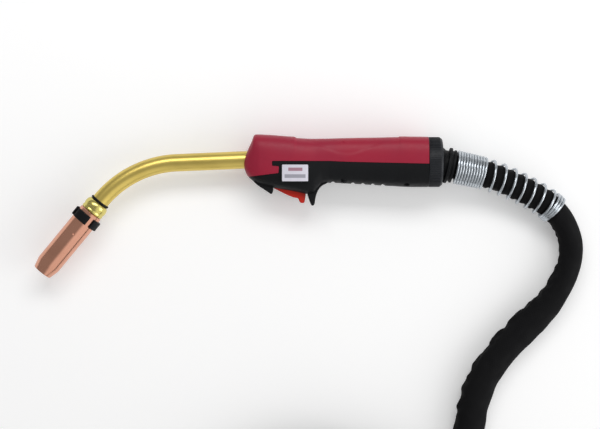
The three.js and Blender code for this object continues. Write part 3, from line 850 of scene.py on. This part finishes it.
def makeCopiesTree():
    # copies of one piece turned evenly round an axis through the origin
    sockets = [("Count", "NodeSocketInt"), ("Axis", "NodeSocketVector"), ("Material", "NodeSocketMaterial")]
    tree, given, result = newTree("ring of copies", sockets)
    points = tree.nodes.new("GeometryNodePoints")
    index = tree.nodes.new("GeometryNodeInputIndex")
    share = tree.nodes.new("ShaderNodeMath")
    share.operation = "DIVIDE"
    turn = tree.nodes.new("ShaderNodeMath")
    turn.operation = "MULTIPLY"
    turn.inputs[1].default_value = 2 * math.pi
    rotation = tree.nodes.new("FunctionNodeAxisAngleToRotation")
    copies = tree.nodes.new("GeometryNodeInstanceOnPoints")
    real = tree.nodes.new("GeometryNodeRealizeInstances")
    paint = tree.nodes.new("GeometryNodeSetMaterial")
    joinUp(
        tree,
        (given.outputs["Count"], points.inputs["Count"]),
        (index.outputs[0], share.inputs[0]),
        (given.outputs["Count"], share.inputs[1]),
        (share.outputs[0], turn.inputs[0]),
        (given.outputs["Axis"], rotation.inputs["Axis"]),
        (turn.outputs[0], rotation.inputs["Angle"]),
        (points.outputs[0], copies.inputs["Points"]),
        (given.outputs["Geometry"], copies.inputs["Instance"]),
        (rotation.outputs[0], copies.inputs["Rotation"]),
        (copies.outputs[0], real.inputs[0]),
        (real.outputs[0], paint.inputs["Geometry"]),
        (given.outputs["Material"], paint.inputs["Material"]),
        (paint.outputs[0], result.inputs[0]),
    )
    return tree


def makeWireTree():
    # a round wire along a line of edges
    sockets = [
        ("Radius", "NodeSocketFloat"),
        ("Sides", "NodeSocketInt"),
        ("Material", "NodeSocketMaterial"),
    ]
    tree, given, result = newTree("wire along a line", sockets)
    curve = tree.nodes.new("GeometryNodeMeshToCurve")
    ring = tree.nodes.new("GeometryNodeCurvePrimitiveCircle")
    wire = tree.nodes.new("GeometryNodeCurveToMesh")
    wire.inputs["Fill Caps"].default_value = True
    real = tree.nodes.new("GeometryNodeRealizeInstances")
    paint = tree.nodes.new("GeometryNodeSetMaterial")
    joinUp(
        tree,
        (given.outputs["Geometry"], curve.inputs["Mesh"]),
        (given.outputs["Sides"], ring.inputs["Resolution"]),
        (given.outputs["Radius"], ring.inputs["Radius"]),
        (curve.outputs[0], wire.inputs["Curve"]),
        (ring.outputs[0], wire.inputs["Profile Curve"]),
        (wire.outputs[0], real.inputs[0]),
        (real.outputs[0], paint.inputs["Geometry"]),
        (given.outputs["Material"], paint.inputs["Material"]),
        (paint.outputs[0], result.inputs[0]),
    )
    return tree


def runTree(piece, tree, values):
    # runs a tree once on a piece and keeps the result as a plain mesh
    change = piece.modifiers.new("made", "NODES")
    change.node_group = tree
    for item in tree.interface.items_tree:
        if item.item_type == "SOCKET" and item.in_out == "INPUT" and item.name in values:
            change[item.identifier] = values[item.name]
    piece.update_tag()
    bpy.context.view_layer.update()
    mesh = bpy.data.meshes.new_from_object(piece.evaluated_get(bpy.context.evaluated_depsgraph_get()))
    piece.modifiers.clear()
    old = piece.data
    piece.data = mesh
    bpy.data.meshes.remove(old)
    return resharpen(piece)


copiesTree = makeCopiesTree()
wireTree = makeWireTree()


def joinPieces(name, *pieces):
    # one mesh from several, keeping each one's material
    bm = bmesh.new()
    materials = []
    for piece in pieces:
        shift = {}
        for i, material in enumerate(piece.data.materials):
            if material not in materials:
                materials.append(material)
            shift[i] = materials.index(material)
        start = len(bm.faces)
        bm.from_mesh(piece.data)
        bm.faces.ensure_lookup_table()
        for face in bm.faces[start:]:
            face.material_index = shift.get(face.material_index, 0)
    mesh = bpy.data.meshes.new(name)
    bm.to_mesh(mesh)
    bm.free()
    for material in materials:
        mesh.materials.append(material)
    for piece in pieces:
        bpy.data.objects.remove(piece)
    whole = bpy.data.objects.new(name, mesh)
    bpy.context.scene.collection.objects.link(whole)
    return whole


def looseMesh(name, rings):
    # a solid through rings of points, in metres round the origin, ready to be copied
    bm = bmesh.new()
    rings = [[bm.verts.new(point) for point in ring] for ring in rings]
    sides = len(rings[0])
    for a, b in zip(rings, rings[1:]):
        for k in range(sides):
            bm.faces.new([a[k], a[(k + 1) % sides], b[(k + 1) % sides], b[k]])
    bm.faces.new(rings[0])
    bm.faces.new(rings[-1])
    bmesh.ops.recalc_face_normals(bm, faces=bm.faces)
    mesh = bpy.data.meshes.new(name)
    bm.to_mesh(mesh)
    bm.free()
    mesh.transform(Matrix.Scale(mm, 4))
    piece = bpy.data.objects.new(name, mesh)
    bpy.context.scene.collection.objects.link(piece)
    return piece


# spring
def makeSpring():
    bm = bmesh.new()
    s, coilTurn = spring["start"], 0.0
    totalTurns = sum(count for count, _ in spring["coils"])
    stepsPerCoil = 40
    last = None
    for count, pitch in spring["coils"]:
        for _ in range(round(count * stepsPerCoil)):
            share = coilTurn / totalTurns
            radius = lerp(spring["frontRadius"], spring["endRadius"], share)
            heading = sleeveRoute.heading(s)
            side = up.cross(heading).normalized()
            lift = heading.cross(side)
            angle = 2 * math.pi * coilTurn - math.pi / 2
            spot = sleeveRoute.place(s) + (side * math.cos(angle) + lift * math.sin(angle)) * radius
            vert = bm.verts.new(rearFace + spot * mm)
            if last:
                bm.edges.new((last, vert))
            last = vert
            s += pitch / stepsPerCoil
            coilTurn += 1 / stepsPerCoil
    mesh = bpy.data.meshes.new("spring")
    bm.to_mesh(mesh)
    bm.free()
    piece = bpy.data.objects.new("bend_spring", mesh)
    bpy.context.scene.collection.objects.link(piece)
    wireValues = {"Radius": spring["wire"] * mm, "Sides": spring["wireSides"], "Material": finish["zinc"]}
    runTree(piece, wireTree, wireValues)
    return dress(piece, "root", finish["zinc"], "zinc", "support_spring")


makeSpring()
print("spring made")

# neck, nut and seal
neck = {
    "corner": (-311.1, -2.7, 0),
    "rise": 2.4,
    "drop": 50.5,
    "bendRadius": 104,
    "radius": 8.8,
    "bore": 6.6,
    "rearX": -151,
    "frontAt": 48.9,
}
corner = Vector(neck["corner"])
rise, drop = math.radians(neck["rise"]), math.radians(neck["drop"])
neckWay = Vector((math.cos(rise), math.sin(rise), 0))
nozzleWay = Vector((-math.cos(drop), -math.sin(drop), 0))


def makeNeck():
    bendAngle = math.radians(neck["drop"] - neck["rise"])
    tangent = neck["bendRadius"] * math.tan(bendAngle / 2)
    rear = corner + neckWay * ((neck["rearX"] - corner.x) / neckWay.x)
    bendStart = corner + neckWay * tangent
    centre = bendStart + Vector((neckWay.y, -neckWay.x, 0)) * neck["bendRadius"]
    spoke = bendStart - centre
    points = [rear.lerp(bendStart, i / 40) for i in range(41)]
    for i in range(1, 61):
        points.append(centre + Matrix.Rotation(bendAngle * i / 60, 3, "Z") @ spoke)
    bendEnd = points[-1]
    front = corner + nozzleWay * neck["frontAt"]
    points += [bendEnd.lerp(front, i / 3) for i in (1, 2, 3)]
    route = Route(points)
    stations = [route.length * i / 150 for i in range(151)]
    outer = sweepMesh(route, stations, lambda s, a: (neck["radius"],) * 2, 72)
    tube = finishMesh("neck_brass_tube", outer)
    inside = [-1 + (route.length + 2) * i / 120 for i in range(121)]
    inner = sweepMesh(route, inside, lambda s, a: (neck["bore"],) * 2, 48)
    combine(tube, finishMesh("neck_bore", inner), "DIFFERENCE")
    resharpen(tube)
    dress(tube, "handle", finish["neck_brass"], "neck_brass", "neck_tube")

    sealProfile = [(9.0, 46.9), (9.7, 46.9), (10.2, 47.5), (10.2, 48.3), (9.7, 48.9), (9.0, 48.9)]
    seal = turned("neck_seal", sealProfile, corner, nozzleWay, 96, closed=True, soften=0.5)
    dress(seal, "handle", finish["rubber"], "rubber", "neck_seal_ring")
    nutProfile = [
        (0, 49.2), (9.4, 49.2), (10.4, 49.9), (11.3, 51.3), (11.9, 53), (12.1, 54.6), (12, 56.3),
        (11.65, 57.5), (11.5, 58), (11.6, 58.5), (11.85, 59.2), (11.95, 60.1), (11.7, 60.9),
        (11.1, 61.3), (0, 61.3),
    ]
    nut = turned("neck_turned_nut", nutProfile, corner, nozzleWay, 120, soften=0.6, steps=3)
    dress(nut, "handle", finish["brass"], "brass", "neck_nut")


makeNeck()

# burner parts inside the nozzle, and the nozzle
nozzle = {
    "rear": 61.6,
    "length": 77.2,
    "radius": 12.4,
    "tipRadius": 9.75,
    "mouth": 8,
    "bore": 10.4,
    "bandStart": 3.2,
    "bandLength": 9.9,
    "bandSeat": 11.1,
    "blocks": 4,
    "blockRadius": 14.7,
    "blockInside": 11.4,
    "strap": 21,
    "strapAt": 240,
    "dimples": (262, 82),
    "dimpleAt": 27,
    "dimpleRise": 13.3,
    "dimpleRadius": 1.5,
}


def onStrap(angle):
    # whether a copper strap crosses the insulator's groove at this angle
    spacing = 2 * math.pi / nozzle["blocks"]
    away = (angle - math.radians(nozzle["strapAt"]) + spacing / 2) % spacing - spacing / 2
    return abs(away) < math.radians(nozzle["strap"] / 2)


def makeBurner():
    # the distances run from the nozzle's rear end
    def along(profile):
        return [(r, nozzle["rear"] + t) for r, t in profile]

    diffuserProfile = [
        (0, 0), (9.4, 0), (9.4, 11.4), (8.6, 11.4), (8.6, 14.6), (9.4, 14.6), (9.4, 20), (7.6, 22),
        (7.6, 30), (0, 30),
    ]
    diffuser = turned("burner_diffuser", along(diffuserProfile), corner, nozzleWay, 72, soften=0.35)
    dress(diffuser, "handle", finish["brass"], "brass", "gas_diffuser")
    clipProfile = [(8.9, 12), (9.9, 12), (9.9, 14), (8.9, 14)]
    clip = turned("burner_clip", along(clipProfile), corner, nozzleWay, 72, closed=True, soften=0.45)
    dress(clip, "handle", finish["zinc"], "zinc", "nozzle_clip_ring")
    holderProfile = [(0, 30.3), (5.6, 30.3), (5.6, 37), (0, 37)]
    holder = turned("burner_tip_holder", along(holderProfile), corner, nozzleWay, 6, soften=0.3, steps=1)
    dress(holder, "handle", finish["brass"], "brass", "tip_holder")
    tipProfile = [(0, 37.3), (4, 37.3), (4, 62), (2.4, 68), (0.75, 68), (0.6, 64), (0, 64)]
    tip = turned("burner_contact_tip", along(tipProfile), corner, nozzleWay, 48, soften=0.4)
    dress(tip, "handle", finish["copper"], "copper", "contact_tip")


def makeBarrel(band, long):
    rear = nozzle["rear"]
    front = rear + nozzle["length"]
    seat, radius, mouth = nozzle["bandSeat"], nozzle["radius"], nozzle["mouth"]

    def bandShape(angle, r, t):
        if abs(r - seat) < 0.06 and band - 0.1 < t < band + long + 0.1 and onStrap(angle):
            return radius - 0.25
        return r

    profile = [
        (nozzle["bore"], rear), (11.6, rear), (12.1, rear + 0.5), (12.1, band), (seat, band + 0.02),
        (seat, band + long - 0.02), (radius, band + long), (radius, front - 10.4), (12.2, front - 9.2),
        (nozzle["tipRadius"] + 0.35, front - 0.8), (nozzle["tipRadius"] - 0.1, front), (mouth + 0.3, front),
        (mouth, front - 0.4), (mouth, front - 8), (nozzle["bore"], front - 16),
    ]
    barrel = finishMesh("nozzle_barrel", spinMesh(profile, corner, nozzleWay, 180, True, bandShape), 30)
    # two crimp dimples hold the insulator in the barrel
    way, side, lift = axisFrame(nozzleWay)
    for degrees in nozzle["dimples"]:
        angle = math.radians(degrees)
        spoke = side * math.cos(angle) + lift * math.sin(angle)
        spot = corner + way * (rear + nozzle["dimpleAt"]) + spoke * nozzle["dimpleRise"]
        dot = bmesh.new()
        bmesh.ops.create_uvsphere(dot, u_segments=24, v_segments=14, radius=nozzle["dimpleRadius"])
        bmesh.ops.translate(dot, verts=dot.verts, vec=spot)
        combine(barrel, finishMesh("dimple", dot), "DIFFERENCE")
    resharpen(barrel, 30)
    dress(barrel, "nozzle", finish["copper"], "copper", "gas_nozzle")


def makeInsulator(band, long):
    # one insulator block, then copies of it round the barrel
    spacing = 2 * math.pi / nozzle["blocks"]
    half = spacing / 2 - math.radians(nozzle["strap"] / 2 + 1)
    middle = math.radians(nozzle["strapAt"]) + spacing / 2
    way, side, lift = axisFrame(nozzleWay)
    top, inside = nozzle["blockRadius"], nozzle["blockInside"]
    steps = 16
    rings = []
    for i in range(steps + 1):
        angle = middle + lerp(-half, half, i / steps)
        out = side * math.cos(angle) + lift * math.sin(angle)
        edge = 0.45 if i in (0, steps) else 0.0
        section = (
            (inside, 0.3), (top - 0.5 - edge, 0.3), (top - edge, 0.8), (top - edge, long - 0.8),
            (top - 0.5 - edge, long - 0.3), (inside, long - 0.3),
        )
        rings.append([way * (band + t) + out * r for r, t in section])
    block = looseMesh("nozzle_insulator_blocks", rings)
    blockValues = {"Count": nozzle["blocks"], "Axis": tuple(nozzleWay), "Material": finish["black"]}
    runTree(block, copiesTree, blockValues)
    block.data.transform(Matrix.Translation(rearFace + corner * mm))
    dress(block, "nozzle", finish["black"], "black", "nozzle_insulator")


def makeNozzle():
    band = nozzle["rear"] + nozzle["bandStart"]
    makeBarrel(band, nozzle["bandLength"])
    makeInsulator(band, nozzle["bandLength"])


makeBurner()
makeNozzle()
print("neck and nozzle made")

# rear collar and swivel ball
collar = {"ribs": 72, "ribWidth": 0.95, "ribHeight": 0.65, "ribFoot": 24.35}


def makeCollar():
    profile = [
        (21.9, -14), (24.3, -14), (24.45, -13.7), (24.45, -1.9), (23.2, 0), (17.4, 0), (17.4, -2.4),
        (21.9, -3),
    ]
    axis = (1, 0, 0)
    body = turned("collar_body", profile, (0, 0, 0), axis, 144, closed=True, soften=0.35, steps=2)
    body.data.materials.append(finish["collar"])
    width, height = collar["ribWidth"], collar["ribHeight"]
    outline = [(-0.5 * width, 0), (-0.32 * width, height), (0.32 * width, height), (0.5 * width, 0)]
    rings = []
    for x, drop in ((-13.2, 0.35), (-12.8, 0), (-2.5, 0), (-1.7, 0.75)):
        rings.append([(x, y, collar["ribFoot"] + z - drop) for y, z in outline])
    ribs = looseMesh("collar_ribs", rings)
    runTree(ribs, copiesTree, {"Count": collar["ribs"], "Axis": axis, "Material": finish["collar"]})
    ribs.data.transform(Matrix.Translation(rearFace))
    whole = joinPieces("collar_ribbed", body, ribs)
    dress(whole, "collar", finish["collar"], "black", "rear_collar")


ball = {"radius": 18.5, "tilt": 12, "centre": (-10, 0, 0)}


def makeBall():
    # the ball, its two flanges and the stem that the spring grips
    tilt = math.radians(ball["tilt"])
    profile = [(10, -12), (13.9, -12.2)]
    for i in range(25):
        t = lerp(-12, 11.2, i / 24)
        profile.append((math.sqrt(ball["radius"] ** 2 - t * t), t))
    profile += [
        (14.55, 12.4), (14.6, 14.9), (17.5, 15.2), (18, 15.7), (18, 17.6), (17.5, 18.1), (15.4, 18.5),
        (15.3, 20.1), (16.3, 20.4), (16.5, 20.8), (16.5, 22.4), (16.2, 22.6), (10, 22.6),
    ]
    bm = spinMesh(profile, ball["centre"], (math.cos(tilt), -math.sin(tilt), 0), 120, True)
    piece = finishMesh("swivel_ball_smooth", bm, 34)
    dress(piece, "root", finish["black"], "black", "swivel_ball")


makeCollar()
makeBall()
print("collar and swivel made")

# handle shells
shell = {
    "wall": 3,
    "squareness": 3.4,
    "gap": 0.3,
    "creaseDepth": 0.38,
    "notchCount": 6,
    "notchRadius": 2.6,
    "firstNotch": (-108.4, -22.05),
    "notchPitch": 9.95,
    "gripSlope": 0.052,
    "pivot": (-164, -22.6, 0),
    "screws": ((-98, 13.6), (-98, -13.6), (-36, 14.6), (-36, -14.6)),
}
shellTop = [
    (-197, 0.5), (-195.6, 6.5), (-193, 13.2), (-189.2, 21.4), (-188, 25.3), (-187.3, 26.6), (-186.4, 27.2),
    (-184.8, 27.4), (-180, 27.3), (-168, 26.6), (-150, 25.25), (-146.8, 25.05), (-145.6, 24), (-140, 23.5),
    (-129, 23), (-119.6, 23.1), (-92, 23.8), (-68, 24.2), (-47, 24.7), (-43.4, 24.75), (-42.3, 25.4),
    (-30, 25.2), (-14.4, 25),
]
shellBottom = [
    (-197, -6.5), (-195.6, -11), (-193, -15), (-189, -18.6), (-185.8, -21), (-181, -23), (-168, -26),
    (-150, -29.2), (-144, -30.3), (-135, -32), (-129, -32), (-124, -27), (-119.6, -22.4), (-112, -20.8),
    (-92, -21.6), (-68, -23), (-47, -24.2), (-42, -24.5), (-30, -25), (-14.4, -25),
]
shellWidth = [
    (-197, 11), (-195.6, 14), (-193, 16.8), (-189, 19.2), (-185.8, 20.6), (-181, 22), (-168, 23.2),
    (-150, 23.5), (-144, 23.4), (-135, 23), (-124, 22.2), (-112, 21.8), (-92, 21.7), (-68, 22), (-47, 22.8),
    (-42, 23.2), (-30, 24), (-14.4, 24.8),
]
creaseLine = [
    (-145.6, 24), (-131, 17.2), (-116.6, 11.5), (-104, 6.6), (-96.6, 5.4), (-88, 6.2), (-81.6, 8.4),
    (-69, 13.2), (-58.6, 17.6), (-49.6, 23.7),
]
partingLine = [
    (-205, -16.4), (-186.6, -14.8), (-163, -11.9), (-162.4, -5.2), (-168.9, -4.7), (-168.9, 0),
    (-111.6, 0), (-96.6, -0.7), (-59.6, -1.6), (-10, -2.8),
]


def loftMesh(stations, inset, sides, marked=False):
    # a squarish tube through the handle's sections, shrunk by inset
    bm = bmesh.new()
    rings = []
    n = 2 / shell["squareness"]
    for x in stations:
        top, bottom = curveValue(shellTop, x) - inset, curveValue(shellBottom, x) + inset
        width = curveValue(shellWidth, x) - inset
        middle, high = (top + bottom) / 2, (top - bottom) / 2
        ring = []
        for k in range(sides):
            angle = 2 * math.pi * (k + 0.5) / sides
            c, s = math.cos(angle), math.sin(angle)
            z = math.copysign(abs(c) ** n, c) * width
            y = middle + math.copysign(abs(s) ** n, s) * high
            if marked and -146 < x < -49:
                above = ease(0, 3, y - curveValue(creaseLine, x)) * ease(0, 5, top - y)
                fade = ease(-146, -126, x) * (1 - ease(-68, -49, x))
                z -= math.copysign(shell["creaseDepth"] * above * fade, z)
            ring.append(bm.verts.new((x, y, z)))
        rings.append(ring)
    for a, b in zip(rings, rings[1:]):
        for k in range(sides):
            bm.faces.new([a[k], a[(k + 1) % sides], b[(k + 1) % sides], b[k]])
    bm.faces.new(rings[0])
    bm.faces.new(rings[-1])
    bmesh.ops.recalc_face_normals(bm, faces=bm.faces)
    return bm


def spread(low, high, step, *extra):
    count = max(2, int((high - low) / step))
    return sorted({*(lerp(low, high, i / count) for i in range(count + 1)), *extra})


def cavity():
    return finishMesh("cavity", loftMesh(spread(-177, -12, 6), shell["wall"], 64))


def blankShell(name):
    stations = spread(-197, -14.4, 1.4, -196.4, -188.2, -187.6, -186.9, -186.2, -146.2, -42.8)
    blank = finishMesh(name, loftMesh(stations, 0, 160, True))
    combine(blank, cavity(), "DIFFERENCE")
    return combine(blank, bar("neck_hole", 9.3, 100, 150, corner, neckWay, 72), "DIFFERENCE")


def slab(name, outline, low, high, bevel=0.0, radius=0.0):
    shaped = rounded(outline, radius, 3, closed=True) if radius else outline
    return finishMesh(name, slabMesh(shaped, low, high, bevel))


def uprightBar(name, radius, low, high, x, z):
    return bar(name, radius, low, high, (x, 0, z), (0, 1, 0))


def crossBar(name, radius, reach, place, sides=40):
    return bar(name, radius, -reach, reach, place, (0, 0, 1), sides)


def boxTool(low, high):
    outline = [(low[0], low[1]), (high[0], low[1]), (high[0], high[1]), (low[0], high[1])]
    return finishMesh("box", slabMesh(outline, low[2], high[2]))


def underline(shift):
    # the area below the parting line; a shift leaves a fine gap between the shells
    edge = []
    for x, y in rounded(partingLine, 0.9, 3):
        y += shift
        if shift and -170 < x < -168:
            x -= shift
        if shift and -164 < x < -161 and y < -5:
            x += shift
        edge.append((x, y))
    return [*edge, (-10, -60), (-205, -60)]


def makeShells():
    upper = blankShell("handle_upper")
    lower = upper.copy()
    lower.data = upper.data.copy()
    lower.name = "handle_lower"
    bpy.context.scene.collection.objects.link(lower)
    combine(upper, finishMesh("under", slabMesh(underline(shell["gap"]), -40, 40)), "DIFFERENCE")
    combine(lower, finishMesh("under", slabMesh(underline(0), -40, 40)), "INTERSECT")
    # the finger guard behind the trigger and the hook in front of it
    hookLine = [
        (-188.5, -16), (-187.2, -20.4), (-183.5, -23.6), (-170.9, -31.9), (-169.6, -31.6), (-168.5, -28.5),
        (-168.2, -19),
    ]
    hook = slab("hook", hookLine, -11.5, 11.5, 0.9, 0.4)
    guardLine = [
        (-134.4, -29), (-133.9, -33.5), (-131.2, -41.2), (-130.3, -43.2), (-128.9, -43.8), (-127.5, -43),
        (-126.9, -41), (-126.2, -36), (-124.9, -31.2), (-122.6, -26.8), (-119.4, -23.4), (-114.5, -21.2),
        (-114, -17), (-134.4, -17),
    ]
    guard = slab("guard", guardLine, -12, 12, 2.0, 1.2)
    combine(guard, cavity(), "DIFFERENCE")
    combine(lower, hook, "UNION")
    combine(lower, guard, "UNION")
    for side in (-1, 1):
        low, high = sorted((side * 8.2, side * 11.5))
        combine(lower, boxTool((-168, -26, low), (-159.5, -18.5, high)), "UNION")
    combine(lower, boxTool((-168.2, -50, -8), (-134.4, -19, 8)), "DIFFERENCE")
    firstX, firstY = shell["firstNotch"]
    for i in range(shell["notchCount"]):
        step = shell["notchPitch"] * i
        place = (firstX + step, firstY - shell["gripSlope"] * step, 0)
        combine(lower, crossBar("notch", shell["notchRadius"], 30, place), "DIFFERENCE")
    padLine = [(-160.4, -20.9), (-132.6, -20.9), (-132.6, -2.3), (-160.4, -2.3)]
    combine(lower, slab("pad", padLine, 20, 23.7, 0.35, 1.2), "UNION")
    for x, z in shell["screws"]:
        combine(lower, uprightBar("boss", 4.2, -18.5, -3.5, x, z), "UNION")
        combine(lower, uprightBar("recess", 3.1, -30, -17, x, z), "DIFFERENCE")
        combine(lower, uprightBar("bore", 1.8, -30, 0, x, z), "DIFFERENCE")
        combine(upper, uprightBar("boss", 4.2, 2, 20, x, z), "UNION")
        combine(upper, uprightBar("bore", 1.8, -5, 13, x, z), "DIFFERENCE")
    combine(lower, crossBar("pivot", 1.8, 12, shell["pivot"], 32), "DIFFERENCE")
    for piece in (upper, lower):
        resharpen(piece, 34)
        piece.data.materials.clear()
    dress(upper, "handle", finish["red"], "red", "upper_shell")
    dress(lower, "handle", finish["black"], "black", "lower_shell")


makeShells()
print("shells made")

# trigger, its pin, screws and label
trigger = {
    "halfWidth": 7.4,
    "outline": [
        (-167.7, -24.6), (-167.5, -26.4), (-164.5, -27.9), (-154.5, -32.9), (-148.5, -35.3), (-144, -36.2),
        (-143, -37), (-142.4, -39), (-141.3, -40.6), (-139.6, -41), (-137.6, -40.9), (-136.9, -39.4),
        (-136, -33.4), (-136.2, -25.4), (-138, -23), (-158, -23), (-161.4, -20.2), (-166.4, -20.2),
    ],
}


def makeTrigger():
    blade = slab("trigger_blade", trigger["outline"], -trigger["halfWidth"], trigger["halfWidth"], 0.7, 0.5)
    combine(blade, crossBar("bore", 1.8, 12, shell["pivot"], 32), "DIFFERENCE")
    resharpen(blade, 40)
    dress(blade, "trigger", finish["trigger"], "trigger", "trigger")
    pinProfile = [(0, -11), (1.5, -11), (1.5, 11), (0, 11)]
    pin = turned("trigger_pivot_pin", pinProfile, shell["pivot"], (0, 0, 1), 40, soften=0.3)
    dress(pin, "handle", finish["zinc"], "zinc", "trigger_pin")


def makeScrews():
    # a pan head with a cross recess, seen in its pocket under the grip
    for i, (x, z) in enumerate(shell["screws"]):
        profile = [
            (0, -21.3), (1.4, -21.25), (2.6, -20.8), (3, -20.1), (3, -17.3), (1.4, -17.3), (1.4, 9), (0, 9),
        ]
        screw = turned(f"handle_screw_{i + 1}", profile, (x, 0, z), (0, 1, 0), 48, soften=0.3, steps=2)
        for wide, deep in ((2.0, 0.35), (0.35, 2.0)):
            combine(screw, boxTool((x - wide, -22, z - deep), (x + wide, -20.1, z + deep)), "DIFFERENCE")
        resharpen(screw)
        dress(screw, "handle", finish["black"], "black", f"shell_screw_{i + 1}")


label = {"low": (-159.3, -19.8), "high": (-133.6, -3.4), "corner": 0.9, "back": 23.75, "front": 24.5}


def makeLabel():
    # pale card with two blank bars, without lettering
    s = Shader("label card", (0.7, 0.68, 0.76), roughness=0.35)
    low, high = at(*label["low"]), at(*label["high"])
    x, y, _ = s.parts(s.place())
    u = (x - low.x) / (high.x - low.x)
    v = (y - low.y) / (high.y - low.y)

    def within(value, start, end, soft):
        return s.ramp(value, start - soft, start + soft) * (1 - s.ramp(value, end - soft, end + soft))

    topBar = within(u, 0.24, 0.78, 0.012) * within(v, 0.62, 0.82, 0.02)
    lowBar = within(u, 0.1, 0.9, 0.012) * within(v, 0.2, 0.42, 0.02)
    paper = s.mix(s.noise(220, 3), (0.66, 0.645, 0.73), (0.76, 0.74, 0.82))
    marked = s.mix(topBar * 0.85, paper, (0.33, 0.12, 0.17))
    marked = s.mix(lowBar * 0.7, marked, (0.2, 0.2, 0.24))
    s.set("Base Color", marked)
    s.set("Roughness", s.ramp(s.noise(150, 2), 0.3, 0.7, 0.28, 0.42))
    (x0, y0), (x1, y1) = label["low"], label["high"]
    outline = [(x0, y0), (x1, y0), (x1, y1), (x0, y1)]
    card = slab("name_card", outline, label["back"], label["front"], 0.15, label["corner"])
    dress(card, "handle", s.material, "label", "name_label")


makeTrigger()
makeScrews()
makeLabel()
print("trigger, screws and label made")


# finishes of the plain inner parts that stay as they are
plainFinish = {
    "neck_core_tube": "copper",
    "switch_plunger": "trigger",
    "power_hose": "red_hose",
    "water_hose": "blue_hose",
    "gas_hose": "rubber",
    "control_wire": "rubber",
}


def paintPlainParts():
    for name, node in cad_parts.items():
        if not node.hide_render:
            node.data.materials.clear()
            node.data.materials.append(finish[plainFinish.get(name, "black")])


paintPlainParts()


# floor, background and light
studio = {
    "sky": 0.95,
    "dimSky": 0.35,
    "brightWay": (0.86, -0.5, 0.1),
    "brightFrom": 0.25,
    "brightTo": 0.6,
    "floorGlow": 0.2,
    "lamps": (
        ("key", (0.05, 0.95, 1.25), (1.5, 0.5), 10),
        ("side", (1.6, -0.45, 0.75), (1.0, 1.0), 8),
    ),
}


def areaLight(name, place, size, power):
    # a soft rectangular lamp that points at the origin
    data = bpy.data.lights.new(name, "AREA")
    data.shape = "RECTANGLE"
    data.size, data.size_y = size
    data.energy = power
    lamp = bpy.data.objects.new(name, data)
    lamp.location = place
    lamp.rotation_euler = (-Vector(place)).to_track_quat("-Z", "Y").to_euler()
    bpy.context.scene.collection.objects.link(lamp)


def makeFloor():
    s = Shader("pale floor", (0.9, 0.9, 0.9), roughness=0.9, Specular_IOR_Level=0.1)
    s.set("Emission Color", (1, 1, 1, 1))
    s.set("Emission Strength", studio["floorGlow"])
    bm = bmesh.new()
    bmesh.ops.create_grid(bm, x_segments=1, y_segments=1, size=6)
    mesh = bpy.data.meshes.new("floor")
    bm.to_mesh(mesh)
    bm.free()
    mesh.materials.append(s.material)
    floor = bpy.data.objects.new("floor", mesh)
    bpy.context.scene.collection.objects.link(floor)
    floor.location = (0, 0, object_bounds()[0].z - 0.5 * mm)


def makeSky():
    # a plain pale room, brighter towards the side lamp
    world = bpy.data.worlds.new("studio")
    world.use_nodes = True
    nodes, links = world.node_tree.nodes, world.node_tree.links
    way = nodes.new("ShaderNodeTexCoord")
    lean = nodes.new("ShaderNodeVectorMath")
    lean.operation = "DOT_PRODUCT"
    lean.inputs[1].default_value = studio["brightWay"]
    glow = nodes.new("ShaderNodeMapRange")
    glow.interpolation_type = "SMOOTHSTEP"
    glow.inputs["From Min"].default_value = studio["brightFrom"]
    glow.inputs["From Max"].default_value = studio["brightTo"]
    glow.inputs["To Min"].default_value = studio["dimSky"]
    glow.inputs["To Max"].default_value = studio["sky"]
    backdrop = nodes["Background"]
    backdrop.inputs["Color"].default_value = (1, 1, 1, 1)
    links.new(way.outputs["Generated"], lean.inputs[0])
    links.new(lean.outputs["Value"], glow.inputs["Value"])
    links.new(glow.outputs[0], backdrop.inputs["Strength"])
    bpy.context.scene.world = world


makeFloor()
makeSky()
for lamp in studio["lamps"]:
    areaLight(*lamp)
print("floor and lights made")
bpy.context.scene.view_settings.view_transform = "Standard"
